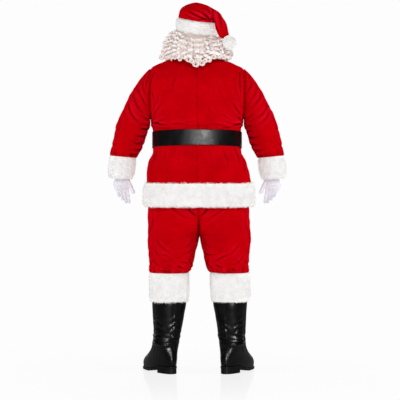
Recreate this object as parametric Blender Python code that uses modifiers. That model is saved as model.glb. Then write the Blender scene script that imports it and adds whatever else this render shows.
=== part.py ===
"""A red plush santa suit as worn: jacket, trousers, belt, hat, wig, gloves and boots.

Run it with: blender --background --python part.py
Heights are above the floor under the boots. +Y is the wearer's front, +X the wearer's right.
The world's origin is between the shoulders, where the wearer carries the suit.
"""

import math
from collections import namedtuple

import bmesh
import bpy
from mathutils import Euler, Matrix, Vector

# Driving sizes, in metres.
SHOULDER_HEIGHT = 1.490  # from the floor to the world's origin
SEAM_GAP = 0.0003  # between pieces sewn together
PLUSH_WALL = 0.002
LEATHER_WALL = 0.0025
GLOVE_WALL = 0.0014
AROUND_BODY = 36  # points round the jacket
AROUND_LIMB = 20  # points round a sleeve, a leg or a boot
ARMHOLE_X = 0.229  # the armhole seam's distance from the centre
UNDERARM_HEIGHT = 1.245
SHOULDER_TIP_HEIGHT = 1.496  # where the shoulder meets the armhole
CUFF_FUR_REACH = 0.013
HEM_FUR_SHIFT = 0.010
JACKET_SHIFT = -0.008  # the jacket stands this far off the middle of the boots
LEG_SHIFT = 0.005  # the legs' own shift, above the ankles
SIDES = {"left": -1, "right": 1}

Material = namedtuple("Material", "name colour roughness metallic")
PLUSH = Material("red_plush", "BE000F", 0.85, 0.0)
FUR = Material("white_faux_fur", "F2F1F0", 0.95, 0.0)
HAIR = Material("white_curls", "E6DFDC", 0.60, 0.0)
GLOVE_CLOTH = Material("white_knit", "E3DEE6", 0.80, 0.0)
BELT_LEATHER = Material("black_belt_leather", "141414", 0.35, 0.0)
BOOT_LEATHER = Material("black_boot_leather", "151515", 0.40, 0.0)
SOLE_RUBBER = Material("black_sole_rubber", "101010", 0.70, 0.0)
BUCKLE_METAL = Material("nickel", "B9B6AE", 0.30, 1.0)

# The jacket's body, hem to neck: rings open between the two halves of the depth at the side seam.
# front_drop lowers the middle of the ring's front, for the neckline.
# shift moves a ring sideways.
BodyRow = namedtuple("BodyRow", "height half_width back front squareness front_drop shift")
BODY_ROWS = [
    BodyRow(0.930, 0.2590, 0.176, 0.186, 2.3, 0, 0.007),
    BodyRow(0.985, 0.2530, 0.172, 0.184, 2.3, 0, 0.005),
    BodyRow(1.040, 0.2400, 0.164, 0.179, 2.3, 0, 0.001),
    BodyRow(1.086, 0.2175, 0.150, 0.170, 2.3, 0, 0.000),
    BodyRow(1.203, 0.2175, 0.150, 0.170, 2.3, 0, 0.000),
    BodyRow(1.220, 0.2270, 0.161, 0.178, 2.3, 0, 0.000),
    BodyRow(1.245, 0.2287, 0.166, 0.178, 2.35, 0, 0.000),
    BodyRow(1.290, 0.2450, 0.168, 0.170, 2.4, 0, 0.000),
    BodyRow(1.340, 0.2560, 0.166, 0.160, 2.4, 0, 0.000),
    BodyRow(1.390, 0.2610, 0.160, 0.148, 2.4, 0, 0.000),
    BodyRow(1.440, 0.2580, 0.148, 0.130, 2.35, 0.004, 0.000),
    BodyRow(1.471, 0.2460, 0.130, 0.116, 2.3, 0.006, 0.000),
    BodyRow(1.496, 0.2291, 0.114, 0.103, 2.2, 0.009, 0.000),
    BodyRow(1.514, 0.1990, 0.104, 0.094, 2.1, 0.014, 0.000),
    BodyRow(1.533, 0.1560, 0.094, 0.085, 2.0, 0.032, 0.000),
    BodyRow(1.548, 0.1120, 0.083, 0.081, 2.0, 0.043, 0.000),
    BodyRow(1.556, 0.0880, 0.076, 0.078, 2.0, 0.050, 0.000),
]
BELT_BODY_ROWS = BODY_ROWS[3:5]  # the body is cinched to one outline under the belt
BELT_BODY_ROW = BELT_BODY_ROWS[0]

# A sleeve, shoulder to wrist. Each section runs from the sleeve's outer edge to its inner edge,
# both given by x and height, and swells back and front of that line; forward shifts it to the front.
SleeveRow = namedtuple("SleeveRow", "outer_x outer_z inner_x inner_z back front forward")
SLEEVE_ROWS = [
    SleeveRow(0.256, 1.474, 0.2325, 1.237, 0.101, 0.094, 0.000),
    SleeveRow(0.291, 1.430, 0.2345, 1.225, 0.102, 0.096, 0.002),
    SleeveRow(0.330, 1.366, 0.2375, 1.209, 0.097, 0.094, 0.005),
    SleeveRow(0.365, 1.298, 0.2435, 1.188, 0.091, 0.089, 0.009),
    SleeveRow(0.393, 1.232, 0.2525, 1.158, 0.084, 0.083, 0.014),
    SleeveRow(0.411, 1.165, 0.2640, 1.121, 0.078, 0.077, 0.020),
    SleeveRow(0.422, 1.115, 0.2810, 1.087, 0.072, 0.071, 0.026),
    SleeveRow(0.431, 1.071, 0.3010, 1.057, 0.066, 0.066, 0.031),
]
SleeveCuffRow = namedtuple("SleeveCuffRow", "outer_x outer_z inner_x inner_z half_depth")
SLEEVE_CUFF_ROWS = [
    SleeveCuffRow(0.4330, 1.0707, 0.3000, 1.0563, 0.067),
    SleeveCuffRow(0.4400, 1.0500, 0.2985, 1.0350, 0.071),
    SleeveCuffRow(0.4450, 0.9900, 0.3060, 0.9800, 0.073),
    SleeveCuffRow(0.4420, 0.9700, 0.3120, 0.9630, 0.070),
    SleeveCuffRow(0.4340, 0.9610, 0.3200, 0.9550, 0.062),
]

# Largest folds, on one side of the suit and mirrored to the other: a ridge (positive rise) or
# a trough along a line from one x and height to another, on the back or on the front.
Fold = namedtuple("Fold", "face start_x start_z end_x end_z width rise")
BODY_FOLDS = [
    Fold("back", 0.215, 1.250, 0.110, 1.330, 0.030, -0.007),
    Fold("back", 0.200, 1.225, 0.060, 1.232, 0.020, 0.006),
    Fold("back", 0.205, 1.030, 0.150, 0.950, 0.030, -0.007),
    Fold("back", 0.080, 1.060, 0.075, 0.950, 0.030, 0.006),
    Fold("front", 0.215, 1.250, 0.120, 1.340, 0.030, -0.007),
    Fold("front", 0.150, 1.060, 0.140, 0.950, 0.030, -0.006),
]
SLEEVE_FOLDS = [
    Fold("back", 0.250, 1.460, 0.252, 1.330, 0.013, -0.005),
    Fold("back", 0.260, 1.270, 0.345, 1.350, 0.022, 0.006),
    Fold("back", 0.280, 1.165, 0.380, 1.190, 0.020, -0.006),
    Fold("front", 0.250, 1.460, 0.252, 1.330, 0.013, -0.005),
    Fold("front", 0.270, 1.180, 0.380, 1.210, 0.022, 0.007),
]
LEG_FOLDS = [
    Fold("back", 0.235, 0.770, 0.080, 0.575, 0.028, 0.008),
    Fold("back", 0.225, 0.680, 0.110, 0.540, 0.022, -0.008),
    Fold("back", 0.210, 0.530, 0.090, 0.545, 0.020, 0.007),
    Fold("front", 0.220, 0.720, 0.080, 0.590, 0.028, 0.008),
    Fold("front", 0.215, 0.545, 0.085, 0.540, 0.022, 0.007),
]

# A trouser leg, waist to cuff, on the wearer's right. A row whose inner edge is past the middle
# is cut off at the centre seam. shift moves a row sideways, the same way on both legs.
LegRow = namedtuple("LegRow", "height inner outer back front shift")
LEG_ROWS = [
    LegRow(1.060, -0.2170, 0.2170, 0.148, 0.163, -0.008),
    LegRow(1.000, -0.2350, 0.2350, 0.159, 0.169, -0.006),
    LegRow(0.920, -0.2440, 0.2440, 0.162, 0.169, -0.003),
    LegRow(0.830, -0.2480, 0.2480, 0.160, 0.166, 0.000),
    LegRow(0.780, -0.2200, 0.2500, 0.158, 0.163, 0.000),
    LegRow(0.735, -0.1200, 0.2510, 0.155, 0.160, 0.001),
    LegRow(0.700, -0.0450, 0.2520, 0.150, 0.155, 0.001),
    LegRow(0.676, 0.0000, 0.2525, 0.143, 0.149, 0.002),
    LegRow(0.645, 0.0070, 0.2525, 0.134, 0.141, 0.002),
    LegRow(0.600, 0.0170, 0.2490, 0.126, 0.133, 0.002),
    LegRow(0.550, 0.0270, 0.2460, 0.120, 0.127, 0.002),
    LegRow(0.515, 0.0370, 0.2440, 0.116, 0.121, 0.002),
    LegRow(0.4955, 0.0500, 0.2420, 0.104, 0.108, 0.003),
]
WAISTBAND_TOP = 1.165
WAISTBAND_BOTTOM = 1.118
WAISTBAND_WALL = 0.003

# A fur band at a trouser end: outer half width and half depth about the boot's own centre.
CuffRow = namedtuple("CuffRow", "height centre half_width half_depth")
TROUSER_CUFF_ROWS = [
    CuffRow(0.4950, 0.1480, 0.0950, 0.103),
    CuffRow(0.4700, 0.1500, 0.0985, 0.107),
    CuffRow(0.3850, 0.1515, 0.0985, 0.107),
    CuffRow(0.3620, 0.1510, 0.0940, 0.102),
    CuffRow(0.3500, 0.1505, 0.0860, 0.093),
]

# A boot, lengthways sections from the sole up: heel and toe are ahead of the ankle's centre,
# egg makes the front of the outline wider than its back.
BootRow = namedtuple("BootRow", "height centre heel toe half_width egg")
BOOT_ROWS = [
    BootRow(0.000, 0.156, -0.070, 0.228, 0.0510, 0.13),
    BootRow(0.022, 0.156, -0.075, 0.230, 0.0530, 0.13),
    BootRow(0.045, 0.156, -0.076, 0.216, 0.0530, 0.11),
    BootRow(0.070, 0.157, -0.071, 0.176, 0.0530, 0.08),
    BootRow(0.100, 0.159, -0.062, 0.122, 0.0570, 0.04),
    BootRow(0.130, 0.160, -0.058, 0.086, 0.0615, 0.0),
    BootRow(0.180, 0.158, -0.062, 0.070, 0.0635, 0.0),
    BootRow(0.246, 0.155, -0.072, 0.076, 0.0690, 0.0),
    BootRow(0.290, 0.153, -0.078, 0.081, 0.0745, 0.0),
    BootRow(0.345, 0.1505, -0.084, 0.085, 0.0812, 0.0),
    BootRow(0.405, 0.1505, -0.085, 0.086, 0.0815, 0.0),
]
BOOT_SPLAY = math.radians(26)
BACK_STRIP_ROWS = BOOT_ROWS[6:10]
BACK_STRIP_HALF_ANGLE = math.radians(5)
BACK_STRIP_WALL = 0.0014
BOOT_ANKLE_SEAM = 0.155
HEEL_HEIGHT = 0.036
SOLE_AT_TOE = 0.012
HEEL_LENGTH = 0.092
SOLE_WALL = 0.010

# The hat's crown in the hat's own axes (z' square to the band). Each section runs from the
# fold side to the far side, by distance toward the fold and height, and half_across swells it.
HatRow = namedtuple("HatRow", "fold_r fold_z far_r far_z half_across")
HAT_FOLD_DIRECTION = math.radians(-42)
HAT_ROWS = [
    HatRow(0.108, 0.050, -0.103, 0.062, 0.102),
    HatRow(0.113, 0.058, -0.087, 0.088, 0.090),
    HatRow(0.116, 0.059, -0.051, 0.106, 0.068),
    HatRow(0.118, 0.058, -0.011, 0.1155, 0.052),
    HatRow(0.120, 0.056, 0.033, 0.110, 0.043),
    HatRow(0.122, 0.052, 0.073, 0.099, 0.039),
    HatRow(0.125, 0.046, 0.112, 0.085, 0.038),
    HatRow(0.127, 0.032, 0.146, 0.062, 0.036),
    HatRow(0.130, 0.010, 0.178, 0.030, 0.034),
    HatRow(0.139, -0.012, 0.197, 0.006, 0.030),
    HatRow(0.158, -0.032, 0.209, -0.010, 0.022),
    HatRow(0.178, -0.037, 0.203, -0.020, 0.012),
]
HAT_CENTRE = Vector((-0.006, 0.0, 1.708))
HAT_TILT = Vector((math.radians(9.1), math.radians(7.9), 0))
HAT_BAND_HALF_HEIGHT = 0.030
HAT_BAND_INSIDE = (0.0925, 0.1095)
HAT_BAND_OUTSIDE = (0.1090, 0.1260)
POMPOM_RADIUS = 0.0355
POMPOM_CENTRE = Vector((0.1494, -0.1445, 1.615))

# The wig's reach, crown to lowest curls; tilt is how much of the hat's slope a ring follows.
WigRow = namedtuple("WigRow", "height half_width back front tilt")
WIG_ROWS = [
    WigRow(1.796, 0.0200, 0.024, 0.024, 1.0),
    WigRow(1.786, 0.0460, 0.055, 0.055, 1.0),
    WigRow(1.765, 0.0690, 0.082, 0.082, 1.0),
    WigRow(1.738, 0.0840, 0.100, 0.100, 1.0),
    WigRow(1.712, 0.0905, 0.1075, 0.1075, 1.0),
    WigRow(1.6775, 0.0905, 0.1075, 0.1075, 1.0),
    WigRow(1.672, 0.1080, 0.122, 0.110, 1.0),
    WigRow(1.650, 0.1320, 0.142, 0.112, 0.8),
    WigRow(1.620, 0.1540, 0.154, 0.114, 0.4),
    WigRow(1.590, 0.1660, 0.160, 0.116, 0.2),
    WigRow(1.562, 0.1660, 0.162, 0.116, 0.0),
    WigRow(1.540, 0.1500, 0.160, 0.110, 0.0),
    WigRow(1.515, 0.1150, 0.156, 0.100, 0.0),
    WigRow(1.498, 0.0700, 0.150, 0.090, 0.0),
]
HEAD_ROWS = [
    WigRow(1.772, 0.0300, 0.036, 0.036, 1.0),
    WigRow(1.750, 0.0560, 0.068, 0.068, 1.0),
    WigRow(1.712, 0.0740, 0.090, 0.090, 1.0),
    WigRow(1.650, 0.0780, 0.094, 0.094, 1.0),
    WigRow(1.580, 0.0780, 0.094, 0.094, 0.0),
    WigRow(1.400, 0.0780, 0.094, 0.094, 0.0),
]
FACE_HALF_WIDTH = 0.082
FACE_TOP = 1.672

BELT_HEIGHT = 1.145  # at the side seams
BELT_SLOPE = -0.08  # the belt's front sits lower
BELT_HALF_WIDTH = 0.0385
BELT_THICKNESS = 0.0034
BELT_OVERLAP_STEPS = 2  # of the body's own facets, to each side of the buckle
BUCKLE_HALF_WIDTH = 0.042
BUCKLE_HALF_HEIGHT = 0.051
BUCKLE_BAR = 0.009
BUCKLE_THICKNESS = 0.005
BUCKLE_PIN_RADIUS = 0.002
STRAP_LIFT = 0.0088  # the free end's distance over the fixed end

# A glove, on the wearer's right: fingers hang and curl toward the back of the suit.
Finger = namedtuple("Finger", "name base_x base_z tip_x tip_z radius curl")
FINGERS = [
    Finger("little", 0.3985, 0.905, 0.3850, 0.8700, 0.0088, 0.020),
    Finger("ring", 0.3815, 0.905, 0.3680, 0.8550, 0.0095, 0.026),
    Finger("middle", 0.3640, 0.905, 0.3505, 0.8415, 0.0098, 0.028),
    Finger("index", 0.3470, 0.905, 0.3345, 0.8400, 0.0094, 0.024),
    Finger("thumb", 0.3420, 0.945, 0.3150, 0.8900, 0.0112, 0.010),
]
PalmRow = namedtuple("PalmRow", "height centre half_width half_depth")
PALM_ROWS = [
    PalmRow(1.010, 0.3723, 0.0534, 0.0440),
    PalmRow(0.985, 0.3715, 0.0400, 0.0300),
    PalmRow(0.965, 0.3700, 0.0330, 0.0230),
    PalmRow(0.948, 0.3730, 0.0360, 0.0210),
    PalmRow(0.925, 0.3770, 0.0370, 0.0190),
    PalmRow(0.905, 0.3735, 0.0350, 0.0150),
    PalmRow(0.895, 0.3725, 0.0310, 0.0110),
]
GLOVE_Y = 0.027  # the middle of the hand, front to back


def clear_scene():
    for old in list(bpy.data.objects):
        bpy.data.objects.remove(old, do_unlink=True)


def new_collection(name, hidden=False):
    collection = bpy.data.collections.new(name)
    collection.hide_render = hidden
    bpy.context.scene.collection.children.link(collection)
    return collection


def linear(hex_colour):
    values = [int(hex_colour[i : i + 2], 16) / 255 for i in (0, 2, 4)]
    return [v / 12.92 if v <= 0.04045 else ((v + 0.055) / 1.055) ** 2.4 for v in values] + [1]


def material_of(described):
    material = bpy.data.materials.get(described.name)
    if material is None:
        material = bpy.data.materials.new(described.name)
        material.use_nodes = True
        shader = material.node_tree.nodes["Principled BSDF"]
        shader.inputs["Base Color"].default_value = linear(described.colour)
        shader.inputs["Roughness"].default_value = described.roughness
        shader.inputs["Metallic"].default_value = described.metallic
    return material


def loft(name, rings, described, parent, capped=False, wrapped=False):
    """A mesh through rings of equal count. capped closes the end rings; wrapped joins last to first."""
    mesh_builder = bmesh.new()
    rows = [[mesh_builder.verts.new(point) for point in ring] for ring in rings]
    pairs = list(zip(rows, rows[1:]))
    if wrapped:
        pairs.append((rows[-1], rows[0]))
    for low, high in pairs:
        for i in range(len(low)):
            j = (i + 1) % len(low)
            mesh_builder.faces.new((low[i], low[j], high[j], high[i]))
    if capped:
        mesh_builder.faces.new(rows[0][::-1])
        mesh_builder.faces.new(rows[-1])
    if capped or wrapped:
        bmesh.ops.recalc_face_normals(mesh_builder, faces=mesh_builder.faces)
    return mesh_object(name, mesh_builder, described, parent)


def mesh_object(name, mesh_builder, described, parent):
    mesh = bpy.data.meshes.new(name)
    mesh_builder.to_mesh(mesh)
    mesh_builder.free()
    piece = bpy.data.objects.new(name, mesh)
    if described is None:
        cutters.objects.link(piece)
        piece.hide_render = True
        piece.display_type = "WIRE"
    else:
        parts.objects.link(piece)
        mesh.materials.append(material_of(described))
    piece.parent = parent
    return piece


def empty_object(name, location, rotation, parent):
    empty = bpy.data.objects.new(name, None)
    parts.objects.link(empty)
    empty.location = location
    empty.rotation_euler = rotation
    empty.parent = parent
    return empty


def box(name, low, high, described, parent):
    """A box between two corners."""
    mesh_builder = bmesh.new()
    size = Vector(high) - Vector(low)
    centre = (Vector(high) + Vector(low)) / 2
    place = Matrix.Translation(centre) @ Matrix.Diagonal((*size, 1))
    bmesh.ops.create_cube(mesh_builder, size=1, matrix=place)
    return mesh_object(name, mesh_builder, described, parent)


def thicken(piece, wall):
    """Gives an open surface a wall on its inner side."""
    solidify = piece.modifiers.new("wall", "SOLIDIFY")
    solidify.thickness = wall
    solidify.offset = -1
    solidify.use_even_offset = False


def combine(piece, other, operation):
    boolean = piece.modifiers.new(operation.lower(), "BOOLEAN")
    boolean.operation = operation
    boolean.object = other


def smooth(t):
    """A step from 0 to 1 that starts and ends level."""
    t = max(0.0, min(1.0, t))
    return t * t * (3 - 2 * t)


def signed_power(value, power):
    return math.copysign(abs(value) ** power, value)


def oval(count, half_width, back, front, squareness=2.0, centre_x=0.0):
    """Points (x, y) round an oval, from +x by the front, with unlike depths behind and ahead."""
    points = []
    for i in range(count):
        angle = 2 * math.pi * i / count
        x = half_width * signed_power(math.cos(angle), 2 / squareness)
        depth = front if math.sin(angle) >= 0 else back
        y = depth * signed_power(math.sin(angle), 2 / squareness)
        points.append((centre_x + x, y))
    return points


def fold_rise(folds, x, y, z):
    """How far the folds lift the cloth at a point, each fading toward both its ends."""
    face = "back" if y < 0 else "front"
    rise = 0.0
    for fold in folds:
        if fold.face != face:
            continue
        start = Vector((fold.start_x, fold.start_z))
        along = Vector((fold.end_x, fold.end_z)) - start
        offset = Vector((abs(x), z)) - start
        t = max(0.0, min(1.0, offset.dot(along) / along.length_squared))
        distance = (offset - t * along).length
        rise += fold.rise * math.sin(math.pi * (0.15 + 0.7 * t)) * math.exp(-((distance / fold.width) ** 2))
    return rise


def folded(ring, folds):
    """The ring with its points moved out from its middle by the folds."""
    middle = sum(ring, Vector()) / len(ring)
    moved = []
    for point in ring:
        outward = (point - middle).normalized()
        moved.append(point + outward * fold_rise(folds, *point))
    return moved


def body_ring(row, move_out=0.0, height=None):
    level = row.height if height is None else height
    ring = []
    for x, y in oval(
        AROUND_BODY, row.half_width + move_out, row.back + move_out, row.front + move_out, row.squareness
    ):
        drop = row.front_drop * max(0.0, y / row.front) ** 2
        ring.append(Vector((x + row.shift, y, level - drop)))
    return ring


def body_depth(height, face):
    """The jacket body's depth at the armhole seam, at a height."""
    for low, high in zip(BODY_ROWS, BODY_ROWS[1:]):
        if low.height <= height <= high.height:
            t = (height - low.height) / (high.height - low.height)
            half_width, back, front, squareness = (
                getattr(low, name) * (1 - t) + getattr(high, name) * t
                for name in ("half_width", "back", "front", "squareness")
            )
            depth = back if face == "back" else front
            inside = max(0.0, 1 - (ARMHOLE_X / half_width) ** squareness)
            return depth * inside ** (1 / squareness)
    return 0.0


def armhole_ring(side, x):
    """The armhole's outline at a distance from the centre, from the shoulder tip round by the back."""
    middle = (SHOULDER_TIP_HEIGHT + UNDERARM_HEIGHT) / 2
    half = (SHOULDER_TIP_HEIGHT - UNDERARM_HEIGHT) / 2
    ring = []
    for i in range(AROUND_LIMB):
        angle = 2 * math.pi * i / AROUND_LIMB
        z = middle + half * math.cos(angle)
        if math.sin(angle) >= 0:
            y = -body_depth(z, "back")
        else:
            y = body_depth(z, "front")
        ring.append(Vector((side * x, y, z)))
    return ring


def tilted_oval(side, outer, inner, back, front, forward):
    """A section from an outer point to an inner point (x, z), from the outer round by the back."""
    centre = (Vector(outer) + Vector(inner)) / 2
    reach = (Vector(outer) - Vector(inner)) / 2
    ring = []
    for i in range(AROUND_LIMB):
        angle = 2 * math.pi * i / AROUND_LIMB
        x = centre.x + reach.x * math.cos(angle)
        z = centre.y + reach.y * math.cos(angle)
        depth = back if math.sin(angle) >= 0 else front
        ring.append(Vector((side * x, forward - depth * math.sin(angle), z)))
    return ring


def facing(side, rings):
    """Rings that run round the other way on the mirrored side are reversed, so that faces point out."""
    return rings if side > 0 else [ring[::-1] for ring in rings]


def build_jacket(jacket):
    half_gap = SEAM_GAP / 2
    rings = [
        body_ring(row) if row in BELT_BODY_ROWS else folded(body_ring(row), BODY_FOLDS) for row in BODY_ROWS
    ]
    for name, side in SIDES.items():
        seam_x = sorted((side * half_gap, side * 1.0))
        armhole_x = sorted((side * (ARMHOLE_X - half_gap), side * 1.0))
        armhole = box(
            f"armhole_{name}",
            (armhole_x[0], -1, UNDERARM_HEIGHT - 0.004),
            (armhole_x[1], 1, 2),
            None,
            jacket,
        )
        for face, seam_y in (("back", (-1, -half_gap)), ("front", (half_gap, 1))):
            quarter = box(
                f"quarter_{face}_{name}", (seam_x[0], seam_y[0], 0.5), (seam_x[1], seam_y[1], 2), None, jacket
            )
            panel = loft(f"jacket_{face}_{name}", rings, PLUSH, jacket)
            thicken(panel, PLUSH_WALL)
            combine(panel, quarter, "INTERSECT")
            combine(panel, armhole, "DIFFERENCE")


def build_sleeve(name, side, jacket):
    half_gap = SEAM_GAP / 2
    rings = [armhole_ring(side, ARMHOLE_X - 0.012), armhole_ring(side, ARMHOLE_X + 0.003)]
    for row in SLEEVE_ROWS:
        rings.append(
            tilted_oval(
                side, (row.outer_x, row.outer_z), (row.inner_x, row.inner_z), row.back, row.front, row.forward
            )
        )
    rings = rings[:2] + [folded(ring, SLEEVE_FOLDS) for ring in rings[2:-1]] + rings[-1:]
    sleeve = loft(f"jacket_sleeve_{name}", facing(side, rings), PLUSH, jacket)
    thicken(sleeve, PLUSH_WALL)
    outside_x = sorted((side * (ARMHOLE_X + half_gap), side * 1.0))
    outside = box(f"outside_armhole_{name}", (outside_x[0], -1, 0.5), (outside_x[1], 1, 2), None, jacket)
    combine(sleeve, outside, "INTERSECT")


def build_sleeve_cuff(name, side, jacket):
    last = SLEEVE_ROWS[-1]
    outside = []
    for row in SLEEVE_CUFF_ROWS:
        ends = (row.outer_x, row.outer_z), (row.inner_x, row.inner_z)
        outside.append(tilted_oval(side, *ends, row.half_depth, row.half_depth, last.forward))
    inside = []
    for row in (SLEEVE_CUFF_ROWS[-1], SLEEVE_CUFF_ROWS[-2], SLEEVE_CUFF_ROWS[1], SLEEVE_CUFF_ROWS[0]):
        reach = 0.003 if row is SLEEVE_CUFF_ROWS[0] else CUFF_FUR_REACH
        ends = (row.outer_x - reach, row.outer_z), (row.inner_x + reach, row.inner_z)
        depth = row.half_depth - reach
        inside.append(tilted_oval(side, *ends, depth, depth, last.forward))
    loft(f"sleeve_cuff_fur_{name}", outside + inside, FUR, jacket, wrapped=True)


def build_hem_fur(jacket):
    hem = BODY_ROWS[0]._replace(shift=HEM_FUR_SHIFT)
    steps = [(-0.0006, 0.001), (-0.008, 0.017), (-0.030, 0.022), (-0.090, 0.024), (-0.106, 0.020), (-0.113, 0.010)]
    outside = [body_ring(hem, out, hem.height + down) for down, out in steps]
    inside = [
        body_ring(hem, out, hem.height + down) for down, out in [(-0.113, 0.002), (-0.090, 0.002), (-0.0006, -0.003)]
    ]
    loft("jacket_hem_fur", outside + inside, FUR, jacket, wrapped=True)


def waist_ring(height, move_in):
    """The trousers' waist, worked out from the jacket's inner face under the belt."""
    return body_ring(BELT_BODY_ROW, -PLUSH_WALL - SEAM_GAP - move_in, height)


def build_waistband(jacket):
    outside = [waist_ring(WAISTBAND_BOTTOM, 0), waist_ring(WAISTBAND_TOP, 0)]
    inside = [waist_ring(WAISTBAND_TOP, WAISTBAND_WALL), waist_ring(WAISTBAND_BOTTOM, WAISTBAND_WALL)]
    loft("trouser_waistband", outside + inside, PLUSH, jacket, wrapped=True)


def leg_ring(row, side):
    centre = side * (row.inner + row.outer) / 2 + row.shift
    half_width = (row.outer - row.inner) / 2
    points = oval(AROUND_LIMB, half_width, row.back, row.front, 2.2, centre)
    return folded([Vector((x, y, row.height)) for x, y in points], LEG_FOLDS)


def build_trousers(suit):
    half_gap = SEAM_GAP / 2
    waist = []
    for height in (WAISTBAND_BOTTOM - SEAM_GAP, 1.100):
        row = BELT_BODY_ROW
        inset = PLUSH_WALL + 0.0022
        points = oval(
            AROUND_LIMB,
            row.half_width - inset,
            row.back - inset,
            row.front - inset,
            row.squareness,
            JACKET_SHIFT,
        )
        waist.append([Vector((x, y, height)) for x, y in points])
    for name, side in SIDES.items():
        rings = waist + [leg_ring(row, side) for row in LEG_ROWS]
        rings = rings[::-1]
        seam_x = sorted((side * half_gap, side * 1.0))
        for face, seam_y in (("back", (-1, -half_gap)), ("front", (half_gap, 1))):
            quarter = box(
                f"leg_quarter_{face}_{name}", (seam_x[0], seam_y[0], 0.3), (seam_x[1], seam_y[1], 2), None, suit
            )
            panel = loft(f"trouser_{face}_{name}", rings, PLUSH, suit)
            thicken(panel, PLUSH_WALL)
            combine(panel, quarter, "INTERSECT")


def boot_ring(row, side, lift=None, move_out=0.0, angles=None):
    """A lengthways section of a boot, turned out with the foot below the ankle."""
    height = row.height
    middle = (row.heel + row.toe) / 2
    half_length = (row.toe - row.heel) / 2 + move_out
    if angles is None:
        angles = [2 * math.pi * i / AROUND_LIMB for i in range(AROUND_LIMB)]
    ring = []
    for angle in angles:
        ahead = middle + half_length * signed_power(math.sin(angle), 0.87)
        across = (row.half_width + move_out) * signed_power(math.cos(angle), 0.87) * (1 + row.egg * math.sin(angle))
        x = across * math.cos(BOOT_SPLAY) + ahead * math.sin(BOOT_SPLAY)
        y = ahead * math.cos(BOOT_SPLAY) - across * math.sin(BOOT_SPLAY)
        z = height if lift is None else lift(ahead, height)
        shift = LEG_SHIFT * smooth(height / 0.3)
        ring.append(Vector((side * (row.centre + x) + shift, y, z)))
    return ring


def above_sole(ahead, height):
    """Raises a low section onto the sole, which is high at the heel and flat at the toe."""
    arch = HEEL_HEIGHT + (SOLE_AT_TOE - HEEL_HEIGHT) * smooth((ahead + 0.005) / 0.11)
    fade = max(0.0, 1 - height / BOOT_ANKLE_SEAM)
    return height + arch * fade + SEAM_GAP


def build_boot(name, side, suit):
    half_gap = SEAM_GAP / 2
    rings = facing(side, [boot_ring(row, side, above_sole) for row in BOOT_ROWS])
    for piece_name, low, high in (
        ("shaft", BOOT_ANKLE_SEAM + half_gap, 1.0),
        ("foot", -0.1, BOOT_ANKLE_SEAM - half_gap),
    ):
        piece = loft(f"boot_{piece_name}_{name}", rings, BOOT_LEATHER, suit)
        thicken(piece, LEATHER_WALL)
        keep = box(f"keep_{piece_name}_{name}", (-1, -1, low), (1, 1, high), None, suit)
        combine(piece, keep, "INTERSECT")
    build_sole(name, side, suit)
    spread = BACK_STRIP_HALF_ANGLE
    behind = [1.5 * math.pi + turn for turn in (-spread, 0, spread)]
    sections = []
    for row in BACK_STRIP_ROWS:
        inner = boot_ring(row, side, above_sole, SEAM_GAP, behind)
        outer = boot_ring(row, side, above_sole, SEAM_GAP + BACK_STRIP_WALL, behind)
        sections.append(inner + outer[::-1])
    loft(f"boot_back_strip_{name}", sections, BOOT_LEATHER, suit, capped=True)
    flat = boot_ring(BOOT_ROWS[0], side, move_out=0.002)
    flat_rings = [[Vector((p.x, p.y, z)) for p in flat] for z in (0.0, HEEL_HEIGHT - SOLE_WALL - SEAM_GAP)]
    heel = loft(f"boot_heel_{name}", facing(side, flat_rings), SOLE_RUBBER, suit, capped=True)
    heel_front = box(f"heel_front_{name}", (-0.2, HEEL_LENGTH + BOOT_ROWS[0].heel, -1), (0.2, 1, 1), None, suit)
    heel_front.location = (side * BOOT_ROWS[0].centre, 0, 0)
    heel_front.rotation_euler = (0, 0, -side * BOOT_SPLAY)
    combine(heel, heel_front, "DIFFERENCE")


def build_sole(name, side, suit):
    """The outsole with its welt, lofted from the heel to the toe through crosswise sections."""
    row = BOOT_ROWS[0]
    margin = 0.004
    middle = (row.heel + row.toe) / 2
    half_length = (row.toe - row.heel) / 2 + margin
    steps = AROUND_LIMB // 2
    sections = []
    for i in range(steps + 1):
        angle = math.pi * (i / steps - 0.5)
        ahead = middle + half_length * signed_power(math.sin(angle), 0.87)
        narrowest = 0.012
        half = max(
            narrowest, (row.half_width + margin) * abs(math.cos(angle)) ** 0.87 * (1 + row.egg * math.sin(angle))
        )
        low = (HEEL_HEIGHT - SOLE_WALL) * (1 - smooth((ahead - 0.032) / 0.075))
        high = above_sole(ahead, 0) - SEAM_GAP
        section = []
        for across, z in ((-half, low), (half, low), (half, high), (-half, high)):
            x = across * math.cos(BOOT_SPLAY) + ahead * math.sin(BOOT_SPLAY)
            y = ahead * math.cos(BOOT_SPLAY) - across * math.sin(BOOT_SPLAY)
            section.append(Vector((side * (row.centre + x), y, z)))
        sections.append(section)
    loft(f"boot_sole_{name}", sections, SOLE_RUBBER, suit, capped=True)


def build_trouser_cuff(name, side, suit):
    outside = []
    for row in TROUSER_CUFF_ROWS:
        section = BootRow(row.height, row.centre, -row.half_depth, row.half_depth, row.half_width, 0)
        outside.append(boot_ring(section, side))
    boot_top = BOOT_ROWS[-1]
    low, high = TROUSER_CUFF_ROWS[-1], TROUSER_CUFF_ROWS[0]
    inside = [
        boot_ring(boot_top._replace(height=low.height), side, move_out=SEAM_GAP),
        boot_ring(boot_top._replace(height=boot_top.height + 0.006), side, move_out=SEAM_GAP),
        boot_ring(boot_top._replace(height=high.height), side, move_out=0.006),
    ]
    loft(f"trouser_cuff_fur_{name}", outside + inside, FUR, suit, wrapped=True)


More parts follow.
